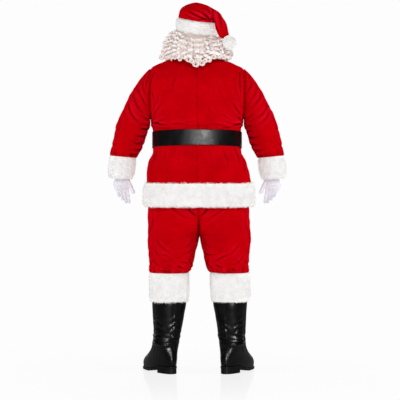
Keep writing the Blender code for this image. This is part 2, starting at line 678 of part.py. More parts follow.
def belt_section(angle, offset, height_scale=1.0):
    """The strap's four corners at an angle round the body from the front."""
    row = BELT_BODY_ROW
    around = math.pi / 2 + angle
    corners = []
    for level, out in ((-1, 0), (1, 0), (1, BELT_THICKNESS), (-1, BELT_THICKNESS)):
        move = SEAM_GAP + offset + out
        x = (row.half_width + move) * signed_power(math.cos(around), 2 / row.squareness)
        depth = (row.front if math.sin(around) >= 0 else row.back) + move
        y = depth * signed_power(math.sin(around), 2 / row.squareness)
        z = BELT_HEIGHT + BELT_SLOPE * y + level * BELT_HALF_WIDTH * height_scale
        corners.append(Vector((x, y, z)))
    return corners


def build_belt(jacket):
    sections = []
    for i in range(-BELT_OVERLAP_STEPS, AROUND_BODY + BELT_OVERLAP_STEPS + 1):
        lifted = smooth((i - AROUND_BODY + 3 * BELT_OVERLAP_STEPS) / (2 * BELT_OVERLAP_STEPS))
        pointed = 0.65 if i == AROUND_BODY + BELT_OVERLAP_STEPS else 1.0
        angle = 2 * math.pi * i / AROUND_BODY
        sections.append(belt_section(angle, STRAP_LIFT * lifted, pointed))
    strap = loft("belt_strap", sections, BELT_LEATHER, jacket, capped=True)
    row = BELT_BODY_ROW
    front = row.front + SEAM_GAP + BELT_THICKNESS
    level = BELT_HEIGHT + BELT_SLOPE * (front + STRAP_LIFT)
    bar_y = front + (STRAP_LIFT - BELT_THICKNESS) / 2
    face_y = front + STRAP_LIFT + 2 * SEAM_GAP
    frame = box(
        "belt_buckle",
        (-BUCKLE_HALF_WIDTH, face_y, level - BUCKLE_HALF_HEIGHT),
        (BUCKLE_HALF_WIDTH, face_y + BUCKLE_THICKNESS, level + BUCKLE_HALF_HEIGHT),
        BUCKLE_METAL,
        jacket,
    )
    window = box(
        "buckle_window",
        (-BUCKLE_HALF_WIDTH + BUCKLE_BAR, 0, level - BUCKLE_HALF_HEIGHT + BUCKLE_BAR),
        (BUCKLE_HALF_WIDTH - BUCKLE_BAR, 1, level + BUCKLE_HALF_HEIGHT - BUCKLE_BAR),
        None,
        jacket,
    )
    combine(frame, window, "DIFFERENCE")
    bar_height = BUCKLE_HALF_HEIGHT - 0.002
    builder = bmesh.new()
    bmesh.ops.create_cone(
        builder,
        cap_ends=True,
        segments=10,
        radius1=BUCKLE_PIN_RADIUS,
        radius2=BUCKLE_PIN_RADIUS,
        depth=2 * bar_height,
        matrix=Matrix.Translation((0, bar_y, level)),
    )
    combine(frame, mesh_object("buckle_bar", builder, None, jacket), "UNION")
    for label, sign in (("upper", 1), ("lower", -1)):
        heights = sorted((level + sign * (BELT_HALF_WIDTH + 0.003), level + sign * bar_height))
        lug = box(
            f"buckle_lug_{label}",
            (-0.004, bar_y - BUCKLE_PIN_RADIUS, heights[0]),
            (0.004, face_y + 0.002, heights[1]),
            None,
            jacket,
        )
        combine(frame, lug, "UNION")
    hole = bmesh.new()
    across = Matrix.Translation((0, front + STRAP_LIFT, level)) @ Matrix.Rotation(math.pi / 2, 4, "X")
    bmesh.ops.create_cone(
        hole, cap_ends=True, segments=12, radius1=0.0035, radius2=0.0035, depth=0.012, matrix=across
    )
    combine(strap, mesh_object("prong_hole", hole, None, jacket), "DIFFERENCE")
    build_prong(jacket, bar_y, face_y, level)


def build_prong(jacket, bar_y, face_y, level):
    """The prong comes through its hole from the bar and lies across the frame's face."""
    radius = 0.0018
    route = [
        (0.0, bar_y + BUCKLE_PIN_RADIUS + radius + SEAM_GAP, level),
        (0.0, face_y + BUCKLE_THICKNESS - radius, level),
        (0.004, face_y + BUCKLE_THICKNESS + radius + SEAM_GAP, level),
        (BUCKLE_HALF_WIDTH + 0.003, face_y + BUCKLE_THICKNESS + radius + SEAM_GAP, level),
    ]
    sections = []
    for i, point in enumerate(route):
        before = Vector(route[max(0, i - 1)])
        after = Vector(route[min(len(route) - 1, i + 1)])
        along = (after - before).normalized()
        side = Vector((0, 0, 1))
        other = along.cross(side)
        sections.append(
            [
                Vector(point) + radius * (math.cos(math.pi * k / 4) * side + math.sin(math.pi * k / 4) * other)
                for k in range(8)
            ]
        )
    loft("belt_prong", sections, BUCKLE_METAL, jacket, capped=True)


def hat_ring(row):
    """A section of the crown in the hat's axes, spanned by the fold direction and square to it."""
    toward = Vector((math.cos(HAT_FOLD_DIRECTION), math.sin(HAT_FOLD_DIRECTION), 0))
    across = Vector((-toward.y, toward.x, 0))
    fold_end = toward * row.fold_r + Vector((0, 0, row.fold_z))
    far_end = toward * row.far_r + Vector((0, 0, row.far_z))
    centre = (fold_end + far_end) / 2
    reach = (fold_end - far_end) / 2
    ring = []
    for i in range(AROUND_LIMB):
        angle = 2 * math.pi * i / AROUND_LIMB
        ring.append(centre + reach * math.cos(angle) + across * row.half_across * math.sin(angle))
    return ring


def band_ring(half_width, half_depth, height, start=0.0):
    ring = []
    for i in range(AROUND_LIMB):
        angle = 2 * math.pi * i / AROUND_LIMB + start
        ring.append(Vector((half_width * math.cos(angle), half_depth * math.sin(angle), height)))
    return ring


def build_hat(suit):
    hat = empty_object("hat", HAT_CENTRE, HAT_TILT, suit)
    top = HAT_BAND_HALF_HEIGHT
    inside_x, inside_y = HAT_BAND_INSIDE
    outside_x, outside_y = HAT_BAND_OUTSIDE
    outline = [
        (outside_x - 0.006, outside_y - 0.006, -top),
        (outside_x, outside_y, -0.7 * top),
        (outside_x, outside_y, 0.6 * top),
        (outside_x - 0.006, outside_y - 0.006, top),
        (inside_x, inside_y, top),
        (inside_x, inside_y, -top),
    ]
    loft("hat_fur_band", [band_ring(*row) for row in outline], FUR, hat, wrapped=True)
    rim = band_ring(inside_x + 0.007, inside_y + 0.007, top + 3 * SEAM_GAP, HAT_FOLD_DIRECTION)
    crown = loft("hat_crown", [rim] + [hat_ring(row) for row in HAT_ROWS], PLUSH, hat)
    thicken(crown, PLUSH_WALL)
    builder = bmesh.new()
    bmesh.ops.create_uvsphere(builder, u_segments=16, v_segments=10, radius=POMPOM_RADIUS)
    pompom = mesh_object("hat_pompom", builder, FUR, suit)
    pompom.location = POMPOM_CENTRE
    builder = bmesh.new()
    bmesh.ops.create_uvsphere(builder, u_segments=16, v_segments=10, radius=POMPOM_RADIUS + SEAM_GAP)
    clearance = mesh_object("pompom_clearance", builder, None, suit)
    clearance.location = POMPOM_CENTRE
    combine(crown, clearance, "DIFFERENCE")


def hair_ring(row, count=24):
    """A ring of the hair or of the head room: upright low down, in the hat's own axes under the hat."""
    hat_axes = Matrix.Translation(HAT_CENTRE) @ Euler(HAT_TILT).to_matrix().to_4x4()
    ring = []
    for x, y in oval(count, row.half_width, row.back, row.front, 2.0):
        upright = Vector((x + HAT_CENTRE.x, y, row.height))
        tilted = hat_axes @ Vector((x, y, row.height - HAT_CENTRE.z))
        ring.append(upright.lerp(tilted, row.tilt))
    return ring


def build_wig(suit, jacket):
    wig = loft("wig_hair", [hair_ring(row) for row in WIG_ROWS][::-1], HAIR, suit, capped=True)
    head = loft("head_room", [hair_ring(row) for row in HEAD_ROWS][::-1], None, suit, capped=True)
    face = box(
        "face_opening",
        (HAT_CENTRE.x - FACE_HALF_WIDTH, 0.02, 1.3),
        (HAT_CENTRE.x + FACE_HALF_WIDTH, 1, FACE_TOP),
        None,
        suit,
    )
    body_rings = [body_ring(row, 4 * SEAM_GAP, row.height + 2 * SEAM_GAP) for row in BODY_ROWS]
    body_rings.append([point + Vector((0, 0, 0.06)) for point in body_rings[-1]])
    body = loft("body_clearance", body_rings, None, jacket, capped=True)
    for cutter in (head, face, body):
        combine(wig, cutter, "DIFFERENCE")


def finger_rings(finger, shrink):
    """Rings down a curved finger, ending in a rounded tip."""
    rings = []
    radius = finger.radius - shrink
    steps = 3
    for i in range(steps + 1):
        t = i / steps
        x = finger.base_x + (finger.tip_x - finger.base_x) * t
        z = finger.base_z + (finger.tip_z - finger.base_z) * t
        y = GLOVE_Y - finger.curl * t * t
        size = radius * (1 - 0.12 * t)
        rings.append(circle(x, y, z, size))
    tip_x, tip_y, tip_z = finger.tip_x, GLOVE_Y - finger.curl, finger.tip_z
    tip_radius = radius * 0.88
    for angle in (math.radians(30), math.radians(65)):
        rings.append(
            circle(tip_x, tip_y, tip_z - tip_radius * math.sin(angle), tip_radius * math.cos(angle))
        )
    return rings


def circle(x, y, z, radius):
    """A finger's section on the left hand."""
    return [
        Vector((-x - radius * math.cos(math.pi * i / 4), y + radius * math.sin(math.pi * i / 4), z))
        for i in range(8)
    ]


def palm_rings(shrink):
    rings = []
    for row in PALM_ROWS:
        top = 0.02 if shrink and row is PALM_ROWS[0] else 0.0
        points = oval(16, row.half_width - shrink, row.half_depth - shrink, row.half_depth - shrink, 2.3)
        rings.append([Vector((-row.centre - x, GLOVE_Y + y, row.height + top)) for x, y in points])
    return rings


def build_gloves(jacket):
    glove = loft("glove_left", palm_rings(0), GLOVE_CLOTH, jacket, capped=True)
    hollow = loft("glove_hollow", palm_rings(GLOVE_WALL), None, jacket, capped=True)
    for finger in FINGERS:
        combine(glove, loft(finger.name, finger_rings(finger, 0), None, jacket, capped=True), "UNION")
        inner = loft(f"{finger.name}_hollow", finger_rings(finger, GLOVE_WALL), None, jacket, capped=True)
        combine(hollow, inner, "UNION")
    combine(glove, hollow, "DIFFERENCE")
    bpy.context.view_layer.update()
    finished = glove.evaluated_get(bpy.context.evaluated_depsgraph_get())
    mirrored = bpy.data.objects.new("glove_right", bpy.data.meshes.new_from_object(finished))
    mirrored.scale = (-1, 1, 1)
    mirrored.parent = jacket
    parts.objects.link(mirrored)


clear_scene()
parts = new_collection("santa_suit")
cutters = new_collection("cutters", hidden=True)
suit = empty_object("suit", (0, 0, -SHOULDER_HEIGHT), (0, 0, 0), None)
jacket = empty_object("jacket", (JACKET_SHIFT, 0, 0), (0, 0, 0), suit)
build_jacket(jacket)
build_hem_fur(jacket)
build_waistband(jacket)
build_belt(jacket)
build_gloves(jacket)
build_trousers(suit)
build_hat(suit)
build_wig(suit, jacket)
for side_name, side_sign in SIDES.items():
    build_sleeve(side_name, side_sign, jacket)
    build_sleeve_cuff(side_name, side_sign, jacket)
    build_trouser_cuff(side_name, side_sign, suit)
    build_boot(side_name, side_sign, suit)
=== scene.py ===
"""The looks of a red plush santa suit as worn: jacket, trousers, belt, hat, wig, gloves and boots.

Lengths are metres unless a name says mm. Heights are above the floor under the boots.
+Y is the wearer's front, +X the wearer's right, and the world's origin is between the shoulders.
"""

import math

import bmesh
import bpy
import numpy as np
from mathutils import Euler, Matrix, Vector


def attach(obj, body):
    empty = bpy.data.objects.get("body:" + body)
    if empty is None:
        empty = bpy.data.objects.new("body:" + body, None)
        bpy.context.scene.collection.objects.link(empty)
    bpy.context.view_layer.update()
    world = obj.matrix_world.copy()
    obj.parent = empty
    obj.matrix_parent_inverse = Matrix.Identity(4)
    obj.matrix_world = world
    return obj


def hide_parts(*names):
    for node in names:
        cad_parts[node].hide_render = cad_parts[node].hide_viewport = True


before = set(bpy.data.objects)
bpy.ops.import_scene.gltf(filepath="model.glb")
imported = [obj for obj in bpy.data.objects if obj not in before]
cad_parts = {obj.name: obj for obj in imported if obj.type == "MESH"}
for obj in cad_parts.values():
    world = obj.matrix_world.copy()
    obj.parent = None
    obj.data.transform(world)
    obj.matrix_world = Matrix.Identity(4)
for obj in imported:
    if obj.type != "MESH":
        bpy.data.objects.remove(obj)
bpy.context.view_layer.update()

# ---------------------------------------------------------------- the room
# A plain studio: a pale glossy floor, a white surround that lights the suit evenly from all sides,
# a soft lamp over the camera's shoulder, one on the suit's front and two tall ones at its sides.
SHOULDER_HEIGHT = 1.490
CAMERA_DISTANCE = 7.5
CAMERA_HEIGHT = 1.0
LAMPS_AIM = Vector((0, 0, -0.6))
FRAME_WIDTH = 1.972  # what the camera takes in at the middle of the suit


def linear(hex_colour):
    values = [int(hex_colour[i : i + 2], 16) / 255 for i in (0, 2, 4)]
    return [v / 12.92 if v <= 0.04045 else ((v + 0.055) / 1.055) ** 2.4 for v in values] + [1]


def add_node(tree, kind, inputs=None, **settings):
    """A new node. inputs gives each socket a value, or what to link: an output, or a node's first one."""
    made = tree.nodes.new(kind)
    for name, value in settings.items():
        setattr(made, name, value)
    for name, value in (inputs or {}).items():
        if isinstance(value, bpy.types.Node):
            value = value.outputs[0]
        if isinstance(value, bpy.types.NodeSocket):
            tree.links.new(value, made.inputs[name])
        else:
            made.inputs[name].default_value = value
    return made


def new_material(name, colour, roughness, **sockets):
    """A Principled material with its constants set, and its node tree and shader."""
    material = bpy.data.materials.new(name)
    material.use_nodes = True
    shader = material.node_tree.nodes["Principled BSDF"]
    shader.inputs["Base Color"].default_value = linear(colour)
    shader.inputs["Roughness"].default_value = roughness
    for socket, value in sockets.items():
        shader.inputs[socket.replace("_", " ")].default_value = value
    return material, material.node_tree, shader


def add_object(name, data):
    """An object that shows the data, in the scene."""
    made = bpy.data.objects.new(name, data)
    bpy.context.scene.collection.objects.link(made)
    return made


camera_data = bpy.data.cameras.new("camera")
camera_data.sensor_width = 36
camera_data.lens = 36 * CAMERA_DISTANCE / FRAME_WIDTH
camera_data.shift_x = 0.0033
camera_data.shift_y = -0.0758
camera = add_object("camera", camera_data)
camera.location = (0, -CAMERA_DISTANCE, CAMERA_HEIGHT - SHOULDER_HEIGHT)
camera.rotation_euler = (math.pi / 2, 0, 0)
bpy.context.scene.camera = camera
bpy.context.scene.view_settings.view_transform = "Standard"


def soft_lamp(name, place, size, watts):
    data = bpy.data.lights.new(name, "AREA")
    data.shape = "RECTANGLE"
    data.size, data.size_y = size
    data.energy = watts
    lamp = add_object(name, data)
    lamp.location = place
    to_suit = LAMPS_AIM - Vector(place)
    lamp.rotation_euler = to_suit.to_track_quat("-Z", "Y").to_euler()
    return lamp


soft_lamp("lamp_over_camera", (0.55, -5.2, 2.0), (1.3, 1.3), 118)
# The side lamps are hidden from glossy rays, so that black leather doesn't mirror them.
soft_lamp("lamp_left", (-4.0, -1.6, 0.8), (0.8, 3.0), 60).visible_glossy = False
soft_lamp("lamp_right", (4.0, -1.4, 0.8), (0.8, 3.0), 66).visible_glossy = False
soft_lamp("lamp_front", (0.5, 5.0, 1.7), (2.0, 2.0), 170)
# A low screen behind the camera, which only polished leather mirrors.
gloss_screen = soft_lamp("gloss_screen", (1.1, -8.4, -0.35), (0.9, 1.5), 370)
gloss_screen.visible_diffuse = False

world = bpy.data.worlds.new("white_surround")
world.use_nodes = True
bpy.context.scene.world = world
surround = world.node_tree
surround.nodes.clear()
seen = add_node(surround, "ShaderNodeLightPath")
lit = add_node(surround, "ShaderNodeBackground", {"Color": linear("FFFFFF"), "Strength": 0.30})
shown = add_node(surround, "ShaderNodeBackground", {"Color": linear("FDFDFE"), "Strength": 1.0})
# The glossy floor mirrors the white backdrop ahead, but leather mirrors the dim room round the camera.
direction = add_node(surround, "ShaderNodeTexCoord").outputs["Generated"]
parts = add_node(surround, "ShaderNodeSeparateXYZ", {0: direction})
ahead = add_node(surround, "ShaderNodeMath", {0: parts.outputs[1], 1: 0.6}, operation="GREATER_THAN")
above = add_node(surround, "ShaderNodeMath", {0: parts.outputs[2], 1: 0.02}, operation="GREATER_THAN")
backdrop = add_node(surround, "ShaderNodeMath", {0: ahead, 1: above}, operation="MULTIPLY")
gloss = add_node(surround, "ShaderNodeMath", {0: backdrop, 1: 0.96, 2: 0.02}, operation="MULTIPLY_ADD")
mirrored = add_node(surround, "ShaderNodeBackground", {"Color": linear("FFFFFF"), "Strength": gloss})
glossy_ray, camera_ray = seen.outputs["Is Glossy Ray"], seen.outputs["Is Camera Ray"]
by_gloss = add_node(surround, "ShaderNodeMixShader", {0: glossy_ray, 1: lit, 2: mirrored})
either = add_node(surround, "ShaderNodeMixShader", {0: camera_ray, 1: by_gloss, 2: shown})
add_node(surround, "ShaderNodeOutputWorld", {"Surface": either})

floor_mesh = bpy.data.meshes.new("floor")
floor_corners = ((-14, -9), (14, -9), (14, 14), (-14, 14))
floor_points = [(x, y, -SHOULDER_HEIGHT - 0.0005) for x, y in floor_corners]
floor_mesh.from_pydata(floor_points, [], [(0, 1, 2, 3)])
floor = add_object("floor", floor_mesh)
floor_paint, floor_tree, floor_shader = new_material(
    "glossy_white_floor", "F4F3F2", 0.07, Specular_IOR_Level=0.9
)
# Away from the suit the flat floor fades into a white glow that matches the surround, as a studio's curved
# floor would look.
floor_place = add_node(floor_tree, "ShaderNodeTexCoord").outputs["Object"]
flat_place = add_node(
    floor_tree, "ShaderNodeVectorMath", {0: floor_place, 1: (1, 1, 0)}, operation="MULTIPLY"
)
from_suit = add_node(floor_tree, "ShaderNodeVectorMath", {0: flat_place}, operation="LENGTH").outputs[1]
far = add_node(
    floor_tree,
    "ShaderNodeMapRange",
    {"Value": from_suit, 1: 0.25, 2: 1.3, 3: 0.84, 4: 1.0},
    interpolation_type="SMOOTHSTEP",
)
glossy_ray = add_node(floor_tree, "ShaderNodeLightPath").outputs["Is Glossy Ray"]
unmirrored = add_node(
    floor_tree, "ShaderNodeMath", {0: glossy_ray, 1: -0.92, 2: 1.0}, operation="MULTIPLY_ADD"
)
glow = add_node(floor_tree, "ShaderNodeEmission", {"Color": linear("FDFDFE"), "Strength": unmirrored})
risen = add_node(floor_tree, "ShaderNodeMixShader", {0: far, 1: floor_shader, 2: glow})
floor_tree.links.new(risen.outputs[0], floor_tree.nodes["Material Output"].inputs["Surface"])
floor_mesh.materials.append(floor_paint)

# ---------------------------------------------------------------- the jacket's body
# A loose hip-length jacket of short-pile polyester plush, cut as two backs and two fronts. It is sewn
# at the centre back, sides, shoulders and armholes, and the belt pulls it in so that it blouses above.
JACKET_SHIFT = -0.008  # the jacket hangs this far off the middle of the stance
ARMHOLE_X = 0.229
UNDERARM = 1.245
PLUSH_WALL = 0.002
SEAM_GAP = 0.0003
SIDES = (("left", -1), ("right", 1))
BELT_TOP = 1.203
BELT_FOOT = 1.086
BELT_MIDDLE = 1.1445
NECK_SLOPE = 1.490  # where the shoulders begin to slope to the neck
BACK_STEP = 0.0046  # between the points of a back panel, which shows most
FRONT_STEP = 0.0066
PANEL_WIDTH = 0.36
BELT_HOLD = 0.058  # how far above and below its middle the belt keeps the cloth flat
WAVES = 7  # that are added up wherever a surface is uneven
# height, half width, depth behind, depth ahead, squareness, drop at the front, sideways shift
BODY_ROWS = np.array(
    [
        (0.930, 0.2590, 0.176, 0.186, 2.3, 0, 0.007),
        (0.985, 0.2530, 0.172, 0.184, 2.3, 0, 0.005),
        (1.040, 0.2400, 0.164, 0.179, 2.3, 0, 0.001),
        (1.086, 0.2175, 0.150, 0.170, 2.3, 0, 0.000),
        (1.203, 0.2175, 0.150, 0.170, 2.3, 0, 0.000),
        (1.220, 0.2270, 0.161, 0.178, 2.3, 0, 0.000),
        (1.245, 0.2287, 0.166, 0.178, 2.35, 0, 0.000),
        (1.290, 0.2450, 0.168, 0.170, 2.4, 0, 0.000),
        (1.340, 0.2560, 0.166, 0.160, 2.4, 0, 0.000),
        (1.390, 0.2610, 0.160, 0.148, 2.4, 0, 0.000),
        (1.440, 0.2580, 0.148, 0.130, 2.35, 0.004, 0.000),
        (1.471, 0.2460, 0.130, 0.116, 2.3, 0.006, 0.000),
        (1.496, 0.2291, 0.114, 0.103, 2.2, 0.009, 0.000),
        (1.514, 0.1990, 0.104, 0.094, 2.1, 0.014, 0.000),
        (1.533, 0.1560, 0.094, 0.085, 2.0, 0.032, 0.000),
        (1.548, 0.1120, 0.083, 0.081, 2.0, 0.043, 0.000),
        (1.556, 0.0880, 0.076, 0.078, 2.0, 0.050, 0.000),
    ]
)
# Creases seen from behind or ahead, in mm: start, middle and end (x, height), strongest at the start;
# width, depth of the trough, and rise of the roll of cloth on its left and on its right.
BODY_CREASES = [
    (-215, 1231, -177, 1220, -123, 1214, 8, 8, 3, 1.5),
    (-221, 1238, -212, 1246, -198, 1253, 6, 6, 1.5, 2),
    (-209, 1262, -188, 1300, -145, 1349, 9, 2.6, 1, 2),
    (-204, 1225, -166, 1242, -123, 1253, 9, 3, 2, 2.5),
    (-213, 1285, -200, 1330, -168, 1400, 9, 2.2, 1, 1.5),
    (-209, 1483, -223, 1440, -227, 1390, 6, 4, 1, 1),
    (-218, 1380, -212, 1330, -216, 1280, 7, 2.4, 1, 1.5),
    (-121, 1218, -73, 1221, -24, 1206, 9, 3, 2.5, 1),
    (-179, 1204, -140, 1201, -92, 1199, 7, 3, 2, 0),
    (-60, 1225, -20, 1232, 25, 1224, 9, 1.2, 1, 1),
    (7, 1199, 8, 1216, 6, 1235, 6, 2.8, 0.7, 0.7),
    (48, 1199, 47, 1211, 44, 1228, 6, 2.1, 0.7, 0.7),
    (-53, 1199, -49, 1211, -44, 1223, 6, 2.1, 0.7, 0.7),
    (94, 1199, 92, 1209, 84, 1221, 6, 2.1, 0.7, 0.7),
    (154, 1197, 150, 1206, 140, 1213, 6, 2.1, 0.7, 0.7),
    (217, 1225, 189, 1217, 155, 1208, 8, 8, 1.5, 3),
    (218, 1235, 208, 1248, 192, 1264, 7, 7, 2, 2),
    (211, 1268, 184, 1306, 152, 1349, 9, 3.6, 2, 2.5),
    (205, 1222, 152, 1228, 106, 1262, 9, 3, 1.5, 3),
    (208, 1478, 211, 1370, 219, 1275, 6, 4.5, 1.5, 1),
    (206, 1330, 190, 1385, 162, 1440, 9, 1.8, 1, 1.5),
    (178, 1235, 130, 1262, 95, 1305, 10, 1.6, 1, 1.5),
    (140, 1209, 96, 1219, 48, 1218, 9, 3, 1, 2),
    (111, 1200, 159, 1205, 198, 1200, 7, 3, 2, 0),
    (-102, 1457, -118, 1405, -126, 1350, 12, 0.9, 0.8, 0.5),
    (87, 1433, 112, 1380, 126, 1330, 12, 0.9, 0.5, 0.8),
    (-53, 1300, -60, 1265, -66, 1238, 10, 0.9, 0.5, 0.5),
    (56, 1310, 62, 1275, 60, 1245, 10, 0.9, 0.5, 0.5),
    (-220, 1100, -232, 1047, -239, 960, 9, 4, 2, 1.5),
    (-193, 1100, -206, 1055, -211, 1000, 9, 3, 1.5, 1.5),
    (-150, 1098, -158, 1060, -160, 1010, 9, 1.8, 1, 1),
    (-84, 1096, -90, 1050, -88, 990, 10, 1, 0.8, 0.8),
    (215, 1100, 227, 1047, 239, 970, 9, 4, 1.5, 2),
    (183, 1100, 203, 1055, 214, 990, 9, 3, 1.5, 1.5),
    (122, 1098, 146, 1050, 158, 990, 10, 1.8, 1, 1),
    (60, 1098, 70, 1050, 74, 1000, 10, 1, 0.8, 0.8),
    (-179, 1101, -179, 1088, -182, 1071, 5, 1.0, 0.4, 0.4),
    (-104, 1102, -106, 1090, -108, 1076, 5, 1.0, 0.4, 0.4),
    (-34, 1105, -34, 1093, -32, 1081, 5, 1.0, 0.4, 0.4),
    (77, 1105, 79, 1090, 82, 1076, 5, 1.0, 0.4, 0.4),
    (147, 1103, 150, 1088, 154, 1071, 5, 1.0, 0.4, 0.4),
]
# The same at the jacket's sides, in mm: x here is toward the front.
BODY_SIDE_CREASES = [
    (-60, 1232, -20, 1226, 40, 1236, 12, 3, 2, 1),
    (-70, 1075, -84, 1010, -96, 945, 16, 2, 1.5, 1),
    (10, 1078, 16, 1010, 12, 945, 18, 2, 1.5, 1.5),
    (80, 1076, 96, 1015, 110, 945, 16, 2, 1, 1.5),
]


def smooth_through(x, rows, wanted):
    """The rows' values at the wanted places, on curves that pass every row and never overshoot it."""
    gaps = np.diff(x)
    slopes = np.diff(rows, axis=0) / gaps[:, None]
    tangents = np.zeros_like(rows)
    tangents[0], tangents[-1] = slopes[0], slopes[-1]
    product, total = slopes[:-1] * slopes[1:], slopes[:-1] + slopes[1:]
    tangents[1:-1] = np.where(product > 0, 2 * product / np.where(product > 0, total, 1), 0)
    i = np.clip(np.searchsorted(x, wanted, side="right") - 1, 0, len(x) - 2)
    gap = gaps[i][:, None]
    t = (np.asarray(wanted)[:, None] - x[i][:, None]) / gap
    low = (1 + 2 * t) * (1 - t) ** 2 * rows[i] + t * (1 - t) ** 2 * gap * tangents[i]
    high = t * t * (3 - 2 * t) * rows[i + 1] + t * t * (t - 1) * gap * tangents[i + 1]
    return low + high


def power(value, exponent):
    return np.sign(value) * np.abs(value) ** exponent


def body_row(height):
    return smooth_through(BODY_ROWS[:, 0], BODY_ROWS, np.atleast_1d(height))[0]


def body_points(row, angles, move_out=0.0):
    """Points (x, y) round the jacket at a row; angle 0 is the wearer's right, a quarter turn the front."""
    depth = np.where(np.sin(angles) >= 0, row[3], row[2]) + move_out
    x = (row[1] + move_out) * power(np.cos(angles), 2 / row[4]) + row[6]
    return x, depth * power(np.sin(angles), 2 / row[4])


def evenly(points, count):
    """The same line through points the same distance apart."""
    steps = np.linalg.norm(np.diff(points, axis=0), axis=1)
    along = np.concatenate([[0], np.cumsum(steps)])
    wanted = np.linspace(0, along[-1], count)
    return np.stack([np.interp(wanted, along, points[:, k]) for k in range(3)], axis=1)


def ease(t):
    t = np.clip(t, 0, 1)
    return t * t * (3 - 2 * t)


def hump(distance, width):
    """A bell curve: 1 at no distance, 0.37 at the width."""
    return np.exp(-((distance / width) ** 2))


def crease_rise(creases, across, height):
    """How far the creases lift the cloth at points given by two coordinates, in metres."""
    rise = np.zeros(len(across))
    place = np.stack([across, height], axis=1)
    for crease in creases:
        ends = np.array(crease[:6]).reshape(3, 2) / 1000
        width, trough, left, right = (v / 1000 for v in crease[6:])
        bend = 2 * ends[1] - (ends[0] + ends[2]) / 2
        t = np.linspace(0, 1, 11)[:, None]
        line = (1 - t) ** 2 * ends[0] + 2 * t * (1 - t) * bend + t * t * ends[2]
        starts, runs = line[:-1], np.diff(line, axis=0)
        offset = place[:, None, :] - starts[None]
        part = np.clip((offset * runs).sum(2) / (runs**2).sum(1), 0, 1)
        away = offset - part[..., None] * runs
        distance = np.linalg.norm(away, axis=2)
        nearest = distance.argmin(axis=1)
        pick = np.arange(len(place))
        run = runs[nearest]
        side = np.sign(run[:, 0] * offset[pick, nearest, 1] - run[:, 1] * offset[pick, nearest, 0])
        d = distance[pick, nearest] * side
        t = (nearest + part[pick, nearest]) / len(runs)
        strength = ease(t / 0.12 + 0.35) * ease((1 - t) / 0.7)
        rolls = left * hump(d - 1.1 * width, width) + right * hump(d + 1.1 * width, width)
        rise += strength * (1.3 * rolls - 1.8 * trough * hump(d, 0.45 * width))
    return rise


def unevenness(points, size, seed):
    """A soft irregular wave through space, from -1 to 1, about size from crest to crest."""
    draw = np.random.default_rng(seed)
    total = np.zeros(len(points))
    for _ in range(WAVES):
        direction = draw.normal(size=3)
        direction *= 2 * math.pi / (np.linalg.norm(direction) * size * draw.uniform(0.6, 1.5))
        total += np.sin(points @ direction + draw.uniform(0, 6.28))
    return total / WAVES**0.5 / 1.4


def grid_normals(grid, wraps):
    """Unit normals of a grid of rings, all on one side of it."""
    if wraps:
        across = np.roll(grid, -1, axis=1) - np.roll(grid, 1, axis=1)
    else:
        across = np.gradient(grid, axis=1)
    normals = np.cross(across, np.gradient(grid, axis=0))
    normals /= np.maximum(np.linalg.norm(normals, axis=2, keepdims=True), 1e-9)
    return normals


def outward_normals(grid, wraps, middle):
    normals = grid_normals(grid, wraps)
    return -normals if ((grid - middle) * normals).sum() < 0 else normals


def surface(name, grid, wraps, material, middle):
    """An object from a grid of points, its faces turned away from the middle point of each row."""
    rows, columns = grid.shape[:2]
    index = np.arange(rows * columns).reshape(rows, columns)
    right = np.roll(index, -1, axis=1) if wraps else index[:, 1:]
    left = index if wraps else index[:, :-1]
    quads = np.stack([left[:-1], right[:-1], right[1:], left[1:]], axis=-1).reshape(-1, 4)
    if ((grid - middle) * grid_normals(grid, wraps)).sum() < 0:
        quads = quads[:, ::-1]
    return mesh_piece(name, grid.reshape(-1, 3), [quads], material)


def mesh_piece(name, points, face_groups, material):
    """An object of smooth faces, given in groups that each have one corner count."""
    mesh = bpy.data.meshes.new(name)
    mesh.vertices.add(len(points))
    mesh.vertices.foreach_set("co", np.ascontiguousarray(points, np.float32).ravel())
    corners = np.concatenate([group.ravel() for group in face_groups]).astype(np.int32)
    counts = np.concatenate([np.full(len(group), group.shape[1]) for group in face_groups])
    starts = np.concatenate([[0], np.cumsum(counts)[:-1]]).astype(np.int32)
    mesh.loops.add(len(corners))
    mesh.loops.foreach_set("vertex_index", corners)
    mesh.polygons.add(len(counts))
    mesh.polygons.foreach_set("loop_start", starts)
    mesh.polygons.foreach_set("use_smooth", np.ones(len(counts), bool))
    mesh.update(calc_edges=True)
    mesh.materials.append(material)
    return add_object(name, mesh)


def stands_for(piece, node):
    """The piece rides the suit's one body and shows in place of a node."""
    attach(piece, "root")
    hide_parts(node)


def thicken(piece, wall):
    solidify = piece.modifiers.new("wall", "SOLIDIFY")
    solidify.thickness = wall
    solidify.offset = -1
    solidify.use_even_offset = False


